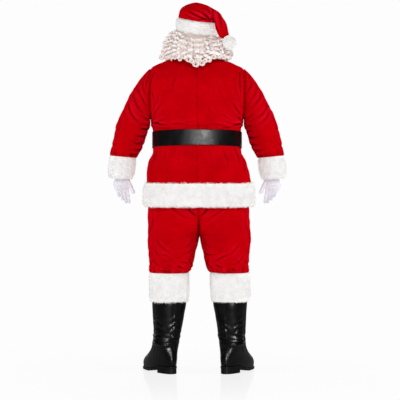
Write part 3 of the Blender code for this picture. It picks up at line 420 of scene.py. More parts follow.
def plush(name):
    """Short-pile polyester plush: deep red and matt. Its raised fibre ends catch light where the form
    turns away, and the pile lies in brushed patches a shade lighter or darker. Shade is painted dark
    into the troughs of creases, and a highlight is painted lighter along their ridges."""
    material, tree, shader = new_material(
        name,
        "BE000D",
        0.9,
        Sheen_Weight=0.35,
        Sheen_Roughness=0.30,
        Sheen_Tint=linear("FF1430"),
        Specular_IOR_Level=0.0,
    )
    place = add_node(tree, "ShaderNodeTexCoord").outputs["Object"]
    # Brushed patches 60 mm wide, and pile tufts of 1 mm drawn at 4 mm so that they show.
    patch_size = {"Vector": place, "Scale": 15.0, "Detail": 4.0, "Roughness": 0.7}
    patches = add_node(tree, "ShaderNodeTexNoise", patch_size)
    tuft_size = {"Vector": place, "Scale": 240.0, "Detail": 2.0, "Roughness": 0.6}
    tufts = add_node(tree, "ShaderNodeTexNoise", tuft_size)
    both = add_node(tree, "ShaderNodeMix", {0: 0.35, 2: patches, 3: tufts}, data_type="FLOAT")
    brushed = add_node(tree, "ShaderNodeValToRGB", {0: both})
    brushed.color_ramp.elements[0].position = 0.33
    brushed.color_ramp.elements[0].color = linear("AA0008")
    brushed.color_ramp.elements[1].position = 0.67
    brushed.color_ramp.elements[1].color = linear("C5000B")
    # Painted shade and highlight: the fold attribute darkens the colour toward 2C0002 in crease troughs and
    # lightens it toward E2082A along their ridges.
    fold = add_node(tree, "ShaderNodeAttribute", attribute_name="fold").outputs["Fac"]
    sunk = add_node(tree, "ShaderNodeMapRange", {"Value": fold, 1: -1.0, 2: 0.0, 3: 0.95, 4: 0.0})
    dark = add_node(
        tree, "ShaderNodeMix", {0: sunk, 6: brushed, 7: linear("2C0002")}, data_type="RGBA"
    ).outputs[2]
    raised = add_node(tree, "ShaderNodeMapRange", {"Value": fold, 1: 0.0, 2: 1.0, 3: 0.0, 4: 0.75})
    light = add_node(
        tree, "ShaderNodeMix", {0: raised, 6: dark, 7: linear("E2082A")}, data_type="RGBA"
    ).outputs[2]
    tree.links.new(light, shader.inputs["Base Color"])
    pile = add_node(tree, "ShaderNodeBump", {"Strength": 0.3, "Distance": 0.0012, "Height": tufts})
    tree.links.new(pile.outputs[0], shader.inputs["Normal"])
    return material


def mark_fold_shade(piece, rise):
    """Keeps how far each point of the cloth rises or sinks, as a share of 9 mm, for the plush's painted
    crease shade and ridge highlight.
    """
    layer = piece.data.attributes.new("fold", "FLOAT", "POINT")
    share = np.clip(rise.reshape(-1) / 0.009, -1, 1)
    layer.data.foreach_set("value", share.astype(np.float32))


jacket_plush = plush("red_polyester_plush")


def cut_off(line, keep, limit):
    """The points of a line that are kept, which come first, and the place where its x meets the limit."""
    kept = line[keep]
    if len(kept) == len(line):
        return kept
    past = line[len(kept)]
    share = (limit - kept[-1, 0]) / (past[0] - kept[-1, 0])
    return np.vstack([kept, kept[-1] + (past - kept[-1]) * share])


def jacket_panel(face, side, step):
    """One quarter of the jacket's body, from the centre seam to the side seam or armhole."""
    shoulders = np.linspace(NECK_SLOPE, BODY_ROWS[-1, 0], int(0.18 / step))
    heights = np.concatenate([np.arange(BODY_ROWS[0, 0], NECK_SLOPE, step), shoulders])
    columns = int(PANEL_WIDTH / step)
    rings = []
    for height in heights:
        row = body_row(height)
        turns = np.linspace(math.pi / 2 if face == "front" else -math.pi / 2, 0, 300)
        x, y = body_points(row, turns)
        x = x if side > 0 else body_points(row, math.pi - turns)[0]
        drop = row[5] * np.clip(y / row[3], 0, None) ** 2
        line = np.stack([x, y, height - drop], axis=1)
        keep = (np.abs(x) <= ARMHOLE_X) | (height <= UNDERARM - 0.004)
        rings.append(evenly(cut_off(line, keep, side * ARMHOLE_X), columns))
    return np.array(rings)


def row_middles(grid):
    return grid.mean(axis=1, keepdims=True)


def crumple(grid, wraps, creases, side_creases, extra=None, seed=1, ripple=0.0012, mirrored=True):
    """Moves a grid of cloth out and in along its normals by its creases and by slight unevenness.
    Mirrored creases are the other way round on the front. extra gives seams and gathers. It returns
    the grid and how far each point moved."""
    n, p = outward_normals(grid, wraps, row_middles(grid)).reshape(-1, 3), grid.reshape(-1, 3)
    facing = ease((np.abs(n[:, 1]) - 0.10) / 0.45)
    sideways = ease((np.abs(n[:, 0]) - 0.55) / 0.35)
    x = np.where(n[:, 1] > 0, -p[:, 0], p[:, 0]) if mirrored else p[:, 0]
    rise = crease_rise(creases, x, p[:, 2]) * facing
    rise += crease_rise(side_creases, p[:, 1], p[:, 2]) * sideways
    if extra is not None:
        rise += extra(p)
    slack = ripple * unevenness(p, 0.055, seed) + ripple * 1.6 * unevenness(p, 0.14, seed + 1)
    return (p + n * (rise + slack)[:, None]).reshape(grid.shape), rise


def body_seams(p):
    """The seams' dips with their slight puckers, and the gathers where the belt pulls the cloth in."""
    centre = np.abs(p[:, 0])
    armhole = np.where(p[:, 2] > UNDERARM - 0.01, np.abs(np.abs(p[:, 0]) - ARMHOLE_X), 1.0)
    side = np.where(p[:, 2] < UNDERARM, np.abs(p[:, 1]), 1.0)
    pucker = unevenness(p * (0.2, 0.2, 1.0), 0.022, 30)
    rise = -0.0014 * hump(centre, 0.0035) - 0.0014 * hump(side, 0.004)
    rise += 0.0007 * pucker * hump(centre, 0.014)
    rise -= 0.0014 * hump(armhole, 0.006) - 0.0008 * hump(armhole - 0.013, 0.009)
    around = np.arctan2(p[:, 1], p[:, 0])
    gather = np.sin(around * 33 + 2.0 * np.sin(around * 7)) * np.sin(around * 13 + 1)
    above, below = p[:, 2] - BELT_TOP, BELT_FOOT - p[:, 2]
    near = hump(above, 0.016) * (above > 0) + hump(below, 0.020) * (below > 0)
    return rise + 0.0007 * gather * near


def keep_to_seams(flat, moved):
    """Keeps the cloth at its own place where the belt presses it, and its edges in the armholes' planes."""
    held = ease((BELT_HOLD - np.abs(flat[..., 2] - BELT_MIDDLE)) / 0.018)[..., None]
    moved = moved + (flat - moved) * held
    from_armhole = np.abs(np.abs(flat[..., 0]) - ARMHOLE_X)
    in_plane = np.where(flat[..., 2] > UNDERARM - 0.012, ease((0.016 - from_armhole) / 0.012), 0)
    moved[..., 0] += (flat[..., 0] - moved[..., 0]) * in_plane
    return moved


def seam_aside(grid, face):
    """Sets the front's centre seam 4 mm aside of the back's, as a worn one hangs, which shuts out light."""
    if face == "front":
        grid[..., 0] += 0.004 * ease((0.030 - np.abs(grid[..., 0])) / 0.025)
    return grid


def plush_piece(node, formed, wraps, middle, rise):
    """A piece of plush cloth with its wall, in place of its node."""
    piece = surface(f"{node}_plush", formed, wraps, jacket_plush, middle)
    mark_fold_shade(piece, rise)
    thicken(piece, PLUSH_WALL)
    stands_for(piece, node)
    return piece


# Each half of the back and front is cut about 0.38 m wide and 0.70 m long, with armhole and neck cut out.
for face, step in (("back", BACK_STEP), ("front", FRONT_STEP)):
    for name, side in SIDES:
        flat = jacket_panel(face, side, step)
        creased, rise = crumple(flat, False, BODY_CREASES, BODY_SIDE_CREASES, body_seams, seed=3)
        formed = seam_aside(keep_to_seams(flat, creased), face) + (JACKET_SHIFT, 0, -SHOULDER_HEIGHT)
        middle = row_middles(formed) * (0, 0, 1) + (JACKET_SHIFT, 0, 0)
        panel = plush_piece(f"jacket_{face}_{name}", formed, False, middle, rise)

# ---------------------------------------------------------------- the sleeves
# Full one-piece sleeves of the same plush, eased into the armholes with a few soft pleats. They hang
# in deep creases from the underarm and inside the elbow, where the arm bends a little.
# outer edge x and height, inner edge x and height, swell behind and ahead, shift forward
SLEEVE_ROWS = np.array(
    [
        (0.256, 1.474, 0.2302, 1.235, 0.101, 0.094, 0.000),
        (0.291, 1.430, 0.2305, 1.221, 0.102, 0.096, 0.002),
        (0.330, 1.366, 0.2345, 1.205, 0.097, 0.094, 0.005),
        (0.365, 1.298, 0.2435, 1.188, 0.091, 0.089, 0.009),
        (0.393, 1.232, 0.2525, 1.158, 0.084, 0.083, 0.014),
        (0.411, 1.165, 0.2640, 1.121, 0.078, 0.077, 0.020),
        (0.422, 1.115, 0.2810, 1.087, 0.072, 0.071, 0.026),
        (0.431, 1.071, 0.3010, 1.057, 0.066, 0.066, 0.031),
    ]
)
SHOULDER_TIP = 1.496
ARMHOLE_MIDDLE = 1.38  # the height that the sleeve's head and gathers are drawn round
WRIST = 1.064
LEFT_SLEEVE_CREASES = [
    (-231, 1473, -250, 1408, -237, 1350, 7, 4.5, 1.5, 2),
    (-228, 1408, -235, 1370, -229, 1315, 6, 5, 1, 1.5),
    (-254, 1462, -262, 1410, -247, 1360, 7, 2.5, 1, 1.5),
    (-269, 1430, -258, 1381, -236, 1347, 8, 4, 1.5, 2),
    (-290, 1392, -263, 1338, -231, 1293, 9, 4, 1.5, 2.5),
    (-315, 1370, -285, 1300, -233, 1260, 10, 4, 2, 2.5),
    (-340, 1327, -306, 1252, -243, 1213, 10, 5, 4, 2),
    (-229, 1239, -258, 1256, -290, 1282, 9, 3.5, 1.5, 2.5),
    (-227, 1229, -248, 1220, -287, 1225, 8, 4, 2, 2.5),
    (-238, 1199, -258, 1198, -282, 1204, 7, 8, 3, 3),
    (-243, 1174, -277, 1162, -320, 1180, 9, 4.5, 2.5, 2.5),
    (-270, 1139, -292, 1127, -328, 1147, 9, 4.5, 2.5, 2.5),
    (-263, 1110, -292, 1098, -330, 1112, 9, 4, 2.5, 2.5),
    (-287, 1076, -326, 1074, -362, 1088, 9, 3.5, 2, 2.5),
    (-352, 1300, -352, 1260, -330, 1215, 10, 1.5, 1, 1),
    (-384, 1190, -382, 1230, -366, 1270, 11, 1.5, 1.2, 1.2),
    (-400, 1120, -394, 1160, -384, 1195, 10, 1.5, 1.2, 1.2),
    (-409, 1062, -399, 1091, -389, 1115, 8, 3, 1, 1),
    (-365, 1050, -360, 1076, -350, 1101, 8, 3, 1, 1),
    (-321, 1057, -321, 1081, -316, 1101, 7, 3, 1, 1),
]
RIGHT_SLEEVE_CREASES = [
    (233, 1474, 238, 1425, 229, 1372, 6, 4, 1.5, 1.5),
    (268, 1430, 254, 1391, 229, 1352, 8, 4.5, 2, 1.5),
    (252, 1470, 256, 1430, 246, 1392, 7, 2, 1.5, 1),
    (292, 1402, 274, 1355, 232, 1312, 9, 2.5, 2, 1.5),
    (314, 1376, 292, 1327, 233, 1278, 10, 4, 2.5, 2),
    (341, 1317, 319, 1273, 248, 1229, 10, 4.5, 2.5, 3),
    (352, 1290, 325, 1240, 262, 1206, 10, 4, 2, 4),
    (228, 1240, 250, 1254, 284, 1282, 9, 3.5, 2.5, 1.5),
    (226, 1222, 248, 1212, 286, 1220, 8, 4, 2.5, 2),
    (235, 1188, 250, 1187, 272, 1193, 7, 8, 3, 3),
    (240, 1174, 272, 1156, 312, 1170, 9, 4.5, 2.5, 2.5),
    (252, 1139, 282, 1122, 322, 1137, 9, 4.5, 2.5, 2.5),
    (262, 1108, 296, 1093, 340, 1108, 9, 4, 2.5, 2.5),
    (286, 1071, 320, 1067, 362, 1082, 9, 3.5, 2.5, 2),
    (392, 1195, 380, 1240, 362, 1285, 11, 1.5, 1.2, 1.2),
    (414, 1115, 406, 1160, 393, 1200, 10, 1.5, 1.2, 1.2),
    (316, 1052, 311, 1076, 303, 1101, 8, 3, 1, 1),
    (359, 1047, 357, 1074, 350, 1101, 8, 3, 1, 1),
    (403, 1062, 398, 1086, 391, 1110, 7, 3, 1, 1),
]
# On the outer side of both arms, x toward the front.
SLEEVE_SIDE_CREASES = [
    (-60, 1330, -10, 1300, 50, 1318, 16, 1.6, 1, 0.8),
    (-50, 1215, 10, 1196, 70, 1214, 14, 1.8, 1.2, 0.8),
    (-40, 1135, 20, 1118, 80, 1132, 12, 2, 1.2, 1),
    (10, 1440, 16, 1380, 8, 1330, 16, 1.5, 1, 1),
]


def full_turn(count):
    return np.linspace(0, 2 * math.pi, count, endpoint=False)


def through_rings(rings, step):
    """A dense grid through rings that have equal counts of points."""
    rings = np.asarray(rings, float)
    gaps = np.linalg.norm(np.diff(rings, axis=0), axis=2).mean(axis=1)
    along = np.concatenate([[0], np.cumsum(gaps)])
    wanted = np.linspace(0, along[-1], max(2, round(along[-1] / step) + 1))
    return smooth_through(along, rings.reshape(len(rings), -1), wanted).reshape(len(wanted), -1, 3)


def tilted_oval(side, outer, inner, back, front, forward, turns):
    centre = (np.array(outer) + inner) / 2
    reach = (np.array(outer) - inner) / 2
    depth = np.where(np.sin(turns) >= 0, back, front)
    x, z = (centre[k] + reach[k] * np.cos(turns) for k in (0, 1))
    return np.stack([side * x, forward - depth * np.sin(turns), z], axis=1)


def armhole_ring(side, x, turns, move_in=0.0):
    height = (SHOULDER_TIP + UNDERARM) / 2 + ((SHOULDER_TIP - UNDERARM) / 2 - move_in) * np.cos(turns)
    depth = []
    for level, turn in zip(height, turns):
        row = body_row(level)
        inside = max(0.0, 1 - (ARMHOLE_X / row[1]) ** row[4]) ** (1 / row[4])
        reach = max(0.0, (row[2] if math.sin(turn) >= 0 else row[3]) * inside - move_in)
        depth.append(-reach if math.sin(turn) >= 0 else reach)
    return np.stack([np.full(len(turns), side * x), depth, height], axis=1)


def sleeve_seam(p):
    """The armhole seam's dip with the head's pleats, and the gathers into the fur cuff."""
    armhole = np.abs(p[:, 0]) - ARMHOLE_X
    around = np.arctan2(p[:, 1], p[:, 2] - ARMHOLE_MIDDLE)
    pleat = np.sin(around * 21 + 1.5 * np.sin(around * 5)) * ease((p[:, 2] - ARMHOLE_MIDDLE) / 0.06)
    rise = 0.0012 * pleat * hump(armhole - 0.018, 0.014)
    gather = np.sin(around * 15 + 2 * np.sin(around * 4))
    return rise + 0.0026 * gather * hump(p[:, 2] - WRIST, 0.030)


# Each is cut about 0.58 m wide at the head and 0.50 m long, narrowing to 0.42 m at the wrist. The
# first rings are its seam allowance, turned in under the jacket's edge.
for name, side in SIDES:
    turns = full_turn(124)
    allowance = ((-0.008, 0.0075), (-0.0005, 0.0055), (0.0015, 0.0025), (0.0060, -0.0005))
    rings = [armhole_ring(side, ARMHOLE_X + out, turns, move_in) for out, move_in in allowance]
    for ox, oz, ix, iz, back, front, forward in SLEEVE_ROWS:
        rings.append(tilted_oval(side, (ox, oz), (ix, iz), back, front, forward, turns))
    flat = np.concatenate([through_rings(rings[:4], 0.0028)[:-1], through_rings(rings[3:], BACK_STEP)])
    creases = LEFT_SLEEVE_CREASES if side < 0 else RIGHT_SLEEVE_CREASES
    creased, rise = crumple(
        flat, True, creases, SLEEVE_SIDE_CREASES, sleeve_seam, seed=11 + side, mirrored=False
    )
    from_seam = np.abs(flat[..., 0]) - ARMHOLE_X
    from_cuff = np.arange(len(flat))[::-1, None] / 3
    ends = (ease((from_seam - 0.002) / 0.014) * ease(from_cuff))[..., None]
    formed = flat + (creased - flat) * ends + (JACKET_SHIFT, 0, -SHOULDER_HEIGHT)
    # Only the fold attribute dips along the armhole seam, which paints a line of shade there.
    rise = rise.reshape(from_seam.shape) * ends[..., 0] - 0.0015 * hump(from_seam, 0.004)
    sleeve = plush_piece(f"jacket_sleeve_{name}", formed, True, row_middles(formed), rise)

# ---------------------------------------------------------------- the fur trims
# Wide bands of white long-pile acrylic fur round the hem and the cuffs, each folded double and sewn
# on by hand at its top edge. The pile lies a little downward and breaks the bands' edges up softly.
# outer edge x and height, inner edge x and height, half depth
SLEEVE_CUFF_ROWS = [
    (0.4330, 1.0707, 0.3000, 1.0563, 0.067),
    (0.4400, 1.0500, 0.2985, 1.0350, 0.071),
    (0.4450, 0.9900, 0.3060, 0.9800, 0.073),
    (0.4420, 0.9700, 0.3120, 0.9630, 0.070),
    (0.4340, 0.9610, 0.3200, 0.9550, 0.062),
]
CUFF_FUR_REACH = 0.013
# Down from the jacket's edge, and out from its cloth: the band's outside, and its inside.
HEM_FUR_STEPS = [
    (-0.0006, 0.001),
    (-0.008, 0.017),
    (-0.030, 0.022),
    (-0.090, 0.024),
    (-0.103, 0.020),
    (-0.110, 0.010),
]
HEM_FUR_INSIDE = [(-0.110, 0.002), (-0.090, 0.002), (-0.0006, -0.003)]
TUFT_WIDTH = 0.0016
CLUMP_HEIGHT = 0.0022
# height, centre, half width, half depth
TROUSER_CUFF_ROWS = [
    (0.4950, 0.1480, 0.0950, 0.103),
    (0.4700, 0.1500, 0.0985, 0.107),
    (0.3850, 0.1515, 0.0985, 0.107),
    (0.3670, 0.1510, 0.0940, 0.102),
    (0.3550, 0.1505, 0.0860, 0.093),
]
LEG_SHIFT = 0.005
BOOT_SPLAY = math.radians(26)
BOOT_TOP = (0.1505, -0.085, 0.086, 0.0815, 0.0)  # centre, heel, toe, half width, egg


def white_fur(name, glow_strength):
    """White acrylic pile: matt fibres whose tone varies a little at random over tufts and clumps. It
    glows white at the given strength, as painted light that keeps the pile bright where its tufts
    shade each other."""
    material, tree, shader = new_material(
        name,
        "D6D6D5",
        0.9,
        Sheen_Weight=0.2,
        Sheen_Roughness=0.5,
        Specular_IOR_Level=0.0,
        Emission_Color=linear("FFFFFF"),
        Emission_Strength=glow_strength,
    )
    place = add_node(tree, "ShaderNodeTexCoord").outputs["Object"]
    # Tufts 5 mm wide, and gaps between clumps 25 mm wide.
    tuft_size = {"Vector": place, "Scale": 190.0, "Detail": 3.0, "Roughness": 0.6}
    tufts = add_node(tree, "ShaderNodeTexNoise", tuft_size)
    clumps = add_node(tree, "ShaderNodeTexNoise", {"Vector": place, "Scale": 38.0, "Detail": 2.0})
    both = add_node(tree, "ShaderNodeMix", {0: 0.5, 2: tufts, 3: clumps}, data_type="FLOAT")
    shade = add_node(tree, "ShaderNodeValToRGB", {0: both})
    shade.color_ramp.elements[0].position = 0.34
    shade.color_ramp.elements[0].color = linear("C9C6C3")
    shade.color_ramp.elements[1].position = 0.56
    shade.color_ramp.elements[1].color = linear("D8D7D6")
    tree.links.new(shade.outputs[0], shader.inputs["Base Color"])
    return material


# The fur glows at this strength as painted light.
fur = white_fur("white_acrylic_fur", 0.24)


def unit(vectors):
    return vectors / np.linalg.norm(vectors, axis=-1, keepdims=True)


def fur_piece(name, grid, nap, tufts, length, seed, closed_ends=False):
    """A bed of short lumpy pile with bent tufts standing in it. nap is how far the tufts lean down."""
    draw = np.random.default_rng(seed)
    # The bed sinks under the piece's own reach by nearly half the pile's length.
    flat_points = grid.reshape(-1, 3)
    flat_normals = outward_normals(grid, True, grid.mean(axis=(0, 1))).reshape(-1, 3)
    lump = 0.6 * CLUMP_HEIGHT * unevenness(flat_points, 0.030, seed)
    lump += 0.4 * CLUMP_HEIGHT * unevenness(flat_points, 0.012, seed + 1)
    bed = flat_points + flat_normals * (lump - 0.45 * length)[:, None]
    rows, columns = grid.shape[:2]
    index = np.arange(rows * columns).reshape(rows, columns)
    low, high = (index[:-1], index[1:]) if closed_ends else (index, np.roll(index, -1, axis=0))
    faces = np.stack([low, np.roll(low, -1, 1), np.roll(high, -1, 1), high], axis=-1).reshape(-1, 4)
    corner = bed[faces]
    face_normal = np.cross(corner[:, 2] - corner[:, 0], corner[:, 3] - corner[:, 1])
    if (face_normal * flat_normals[faces[:, 0]]).sum() < 0:
        faces = faces[:, ::-1]
        face_normal = -face_normal
    areas = np.linalg.norm(face_normal, axis=1)
    chosen = draw.choice(len(faces), size=tufts, p=areas / areas.sum())
    s, t = draw.random((2, tufts, 1))
    q = bed[faces[chosen]]
    root = (q[:, 0] * (1 - s) + q[:, 1] * s) * (1 - t) + (q[:, 3] * (1 - s) + q[:, 2] * s) * t
    up = flat_normals[faces[chosen, 0]]
    lean = np.array([0, 0, -1.0]) - up * (up @ [0, 0, -1.0])[:, None]
    swirl = np.stack([unevenness(root, 0.035, seed + k) for k in (5, 6, 7)], axis=1)
    aim = unit(up + nap * lean + 0.35 * swirl + draw.normal(scale=0.24, size=(tufts, 3)))
    size = (length * draw.uniform(0.65, 1.25, tufts))[:, None]
    across = np.cross(aim, up + draw.normal(scale=0.25, size=(tufts, 3)))
    # Each tuft's front looks out from the bed.
    across *= np.sign((np.cross(across, aim) * up).sum(axis=1, keepdims=True))
    across *= TUFT_WIDTH / 2 / np.maximum(np.linalg.norm(across, axis=1, keepdims=True), 1e-6)
    droop = unit(aim + 0.55 * nap * lean + 0.25 * swirl)
    middle = root + aim * size * 0.55
    tip = middle + droop * size * 0.45
    edges = (root - across, root + across, middle + across * 0.8, middle - across * 0.8, tip)
    base = len(bed) + 5 * np.arange(tufts)[:, None]
    points = np.concatenate([bed, np.stack(edges, axis=1).reshape(-1, 3)])
    return mesh_piece(name, points, [faces, base + (0, 1, 2, 3), base + (3, 2, 4)], fur)


def loop_grid(rings, step):
    """A dense grid through rings that close on the first again, for a band with an inside."""
    rings = np.asarray(rings, float)
    return through_rings(np.concatenate([rings, rings[:1]]), step)[:-1]


def fur_band(node, rings, tufts, length, seed, nap=1.2):
    """A fur band in place of its node, through rings that go down its outside and up its inside."""
    band = fur_piece(f"{node}_pile", loop_grid(rings, 0.006), nap, tufts, length, seed)
    stands_for(band, node)


def level_ring(x, y, height):
    return np.stack([x, y, np.full(len(x), height)], axis=1)


def hem_ring(down, out, turns):
    row = BODY_ROWS[0].copy()
    row[6] = 0.010
    return level_ring(*body_points(row, turns, out), row[0] + down) + (JACKET_SHIFT, 0, -SHOULDER_HEIGHT)


turns = full_turn(240)
rings = [hem_ring(down, out - 0.004, turns) for down, out in HEM_FUR_STEPS]
rings += [hem_ring(down, out + 0.005, turns) for down, out in HEM_FUR_INSIDE]
fur_band("jacket_hem_fur", rings, 40000, 0.011, 41)
for name, side in SIDES:
    turns = full_turn(90)
    rings = []
    # Down the outside and up the inside.
    for k in (0, 1, 2, 3, 4, 4, 3, 1, 0):
        ox, oz, ix, iz, depth = SLEEVE_CUFF_ROWS[k]
        inside = len(rings) > 4
        reach = (0.006 if oz > WRIST else CUFF_FUR_REACH - 0.001) if inside else 0.003
        depth -= reach
        rings.append(tilted_oval(side, (ox - reach, oz), (ix + reach, iz), depth, depth, 0.031, turns))
    rings = [ring + (JACKET_SHIFT, 0, -SHOULDER_HEIGHT) for ring in rings]
    fur_band(f"sleeve_cuff_fur_{name}", rings, 11000, 0.009, 43 + side)


def boot_outline(heel, toe, half_width, egg, turns, move_out=0.0):
    """How far ahead and across a boot's outline lies at each turn. A quarter turn is the toe."""
    ahead = (heel + toe) / 2 + ((toe - heel) / 2 + move_out) * power(np.sin(turns), 0.87)
    return ahead, (half_width + move_out) * power(np.cos(turns), 0.87) * (1 + egg * np.sin(turns))


def turned_out(ahead, across):
    """The same places as x and y, once the foot is turned out."""
    x = across * math.cos(BOOT_SPLAY) + ahead * math.sin(BOOT_SPLAY)
    return x, ahead * math.cos(BOOT_SPLAY) - across * math.sin(BOOT_SPLAY)


def boot_ring(height, centre, heel, toe, half_width, egg, side, turns, move_out=0.0):
    """A level section of a boot, turned out with the foot."""
    x, y = turned_out(*boot_outline(heel, toe, half_width, egg, turns, move_out))
    return level_ring(side * (centre + x) + LEG_SHIFT * ease(height / 0.3), y, height)


for name, side in SIDES:
    turns = full_turn(110)
    rings = []
    for height, centre, half_width, depth in TROUSER_CUFF_ROWS:
        rings.append(boot_ring(height, centre, -depth, depth, half_width, 0, side, turns, -0.003))
    for height, out in ((0.355, 0.005), (0.411, 0.004), (0.495, 0.010)):
        rings.append(boot_ring(height, *BOOT_TOP, side, turns, out))
    rings = [ring - (0, 0, SHOULDER_HEIGHT) for ring in rings]
    fur_band(f"trouser_cuff_fur_{name}", rings, 17000, 0.009, 47 + side)

# ---------------------------------------------------------------- the trousers
# Wide knee-length trousers of the same plush, two fronts and two backs, sewn at the centre, sides and
# insides of the legs, on a plain waistband. The legs are gathered into fur bands over the boots.
# height, inner edge, outer edge, depth behind, depth ahead, sideways shift
LEG_ROWS = np.array(
    [
        (0.4955, 0.0500, 0.2420, 0.104, 0.108, 0.003),
        (0.515, 0.0370, 0.2440, 0.116, 0.121, 0.002),
        (0.550, 0.0270, 0.2460, 0.120, 0.127, 0.002),
        (0.600, 0.0170, 0.2490, 0.126, 0.133, 0.002),
        (0.645, 0.0070, 0.2525, 0.134, 0.141, 0.002),
        (0.676, 0.0000, 0.2525, 0.143, 0.149, 0.002),
        (0.700, -0.0450, 0.2520, 0.150, 0.155, 0.001),
        (0.735, -0.1200, 0.2510, 0.155, 0.160, 0.001),
        (0.780, -0.2200, 0.2500, 0.158, 0.163, 0.000),
        (0.830, -0.2480, 0.2480, 0.160, 0.166, 0.000),
        (0.920, -0.2440, 0.2440, 0.162, 0.169, -0.003),
        (1.000, -0.2350, 0.2350, 0.159, 0.169, -0.006),
        (1.060, -0.2170, 0.2170, 0.148, 0.163, -0.008),
        (1.100, -0.2125, 0.2125, 0.145, 0.165, -0.008),
        (1.1177, -0.2125, 0.2125, 0.145, 0.165, -0.008),
    ]
)
LEG_CREASES = [
    (-52, 812, -23, 784, -4, 770, 10, 5, 2, 2),
    (-131, 812, -73, 774, -20, 744, 10, 2.4, 1.5, 1.5),
    (-227, 802, -219, 715, -200, 655, 7, 1.8, 1.5, 1.5),
    (-200, 655, -163, 612, -85, 568, 9, 3.2, 2.5, 2),
    (-214, 612, -190, 578, -150, 556, 9, 2.2, 1.5, 1.5),
    (-182, 586, -152, 581, -127, 562, 8, 3, 1.5, 2),
    (-48, 538, -72, 550, -103, 550, 7, 4, 2, 2),
    (-103, 533, -79, 520, -54, 513, 7, 5, 2, 2),
    (-194, 514, -163, 505, -110, 502, 6, 4, 2, 1.5),
    (-222, 560, -200, 535, -170, 524, 8, 3, 2, 1.5),
    (-150, 538, -128, 528, -112, 512, 6, 3, 1.5, 1.5),
    (-28, 660, -50, 630, -84, 618, 10, 2, 1.5, 1.5),
    (-34, 612, -54, 596, -88, 590, 9, 2.4, 1.5, 1.5),
    (-76, 511, -70, 524, -60, 536, 6, 3, 1.5, 1.5),
    (-200, 508, -197, 520, -186, 532, 6, 3, 1.5, 1.5),
    (46, 812, 21, 786, 5, 772, 10, 5, 2, 2),
    (120, 812, 66, 772, 18, 742, 10, 2.2, 1.5, 1.5),
    (226, 800, 226, 715, 208, 655, 7, 1.8, 1.5, 1.5),
    (194, 635, 164, 598, 128, 580, 9, 2.6, 2, 2),
    (140, 587, 91, 562, 54, 543, 9, 3.2, 2, 2.5),
    (31, 592, 61, 586, 103, 593, 8, 3, 2, 1.5),
    (43, 550, 55, 526, 79, 513, 6, 5, 2, 2),
    (79, 538, 115, 526, 140, 538, 7, 4, 2, 2),
    (216, 583, 192, 550, 150, 533, 9, 2.6, 1.5, 2),
    (24, 655, 48, 628, 86, 616, 10, 2, 1.5, 1.5),
    (160, 520, 182, 510, 208, 512, 7, 3.5, 2, 1.5),
    (113, 511, 109, 522, 98, 532, 6, 3, 1.5, 1.5),
    (199, 540, 188, 556, 168, 566, 7, 2.5, 1.5, 1.5),
]
# At the outer sides of the legs, x toward the front.
LEG_SIDE_CREASES = [
    (-90, 760, -40, 640, 40, 560, 18, 2, 1.2, 1.2),
    (80, 740, 50, 650, -20, 590, 18, 2, 1.2, 1.2),
    (-80, 560, -20, 535, 50, 548, 12, 2.5, 1.5, 1),
    (70, 525, 20, 515, -30, 522, 9, 2.5, 1, 1),
]
WAISTBAND = (1.118, 1.165)
LEGS_PART = 0.676


def leg_panel(face, side, step):
    """One quarter of the trousers, from the outer seam to the inner one and the centre."""
    heights = np.append(np.arange(LEG_ROWS[0, 0], LEG_ROWS[-1, 0], step), LEG_ROWS[-1, 0])
    rows = smooth_through(LEG_ROWS[:, 0], LEG_ROWS, heights)
    sign = 1 if face == "front" else -1
    rings = []
    for height, inner, outer, back, front, shift in rows:
        turns = np.linspace(0, math.pi, 400)
        x = side * (inner + outer) / 2 + shift + side * (outer - inner) / 2 * power(np.cos(turns), 2 / 2.2)
        y = sign * (front if sign > 0 else back) * power(np.sin(turns), 2 / 2.2)
        line = level_ring(x, y, height)
        ring = cut_off(line, side * x >= SEAM_GAP / 2, side * SEAM_GAP / 2)
        rings.append(evenly(ring, int(PANEL_WIDTH / step)))
    return np.array(rings)


def leg_seams(p):
    """Dips at the centre and side seams, and the gathers into the fur bands."""
    centre = np.where(p[:, 2] > LEGS_PART, np.abs(p[:, 0]), 1.0)
    cleft = 0.0015 + 0.0050 * ease((0.80 - p[:, 2]) / 0.07)
    rise = -cleft * hump(centre, 0.008) - 0.0013 * hump(p[:, 1], 0.004)
    around = np.arctan2(p[:, 1], np.abs(p[:, 0]) - 0.15)
    above_fur = p[:, 2] - LEG_ROWS[0, 0]
    gather = np.sin(around * 14 + 2.2 * np.sin(around * 3 + 1)) + 0.6 * np.sin(around * 25 + 2)
    return rise + 0.0030 * gather * ease(above_fur / 0.006) * hump(above_fur - 0.004, 0.026)


for face, step in (("back", BACK_STEP), ("front", FRONT_STEP)):
    for name, side in SIDES:
        flat = leg_panel(face, side, step)
        creased, rise = crumple(flat, False, LEG_CREASES, LEG_SIDE_CREASES, leg_seams, seed=21)
        held = ease((1.08 - flat[..., 2:]) / 0.02)
        formed = flat + (creased - flat) * held
        # The halves stay in the centre seam's plane, down to where the legs part.
        at_centre = ease((0.016 - np.abs(flat[..., 0])) / 0.012) * (flat[..., 2] > 0.640)
        formed[..., 0] += (flat[..., 0] - formed[..., 0]) * at_centre
        formed[..., 0] = side * np.maximum(side * formed[..., 0], SEAM_GAP / 2)
        formed = seam_aside(formed, face) - (0, 0, SHOULDER_HEIGHT)
        middle = row_middles(formed) * (0, 0, 1) + (side * 0.12, 0, 0)
        panel = plush_piece(f"trouser_{face}_{name}", formed, False, middle, rise)

# The waistband is a folded strip of the plush on its elastic, 47 mm high.
waist = body_points(body_row(BELT_MIDDLE), full_turn(160), -PLUSH_WALL - SEAM_GAP - 0.0004)
band_rings = [level_ring(*waist, height) + (JACKET_SHIFT, 0, -SHOULDER_HEIGHT) for height in WAISTBAND]
band_grid = through_rings(band_rings, 0.008)
waistband = surface("trouser_waistband_plush", band_grid, True, jacket_plush, row_middles(band_grid))
thicken(waistband, 0.0024)
stands_for(waistband, "trouser_waistband")

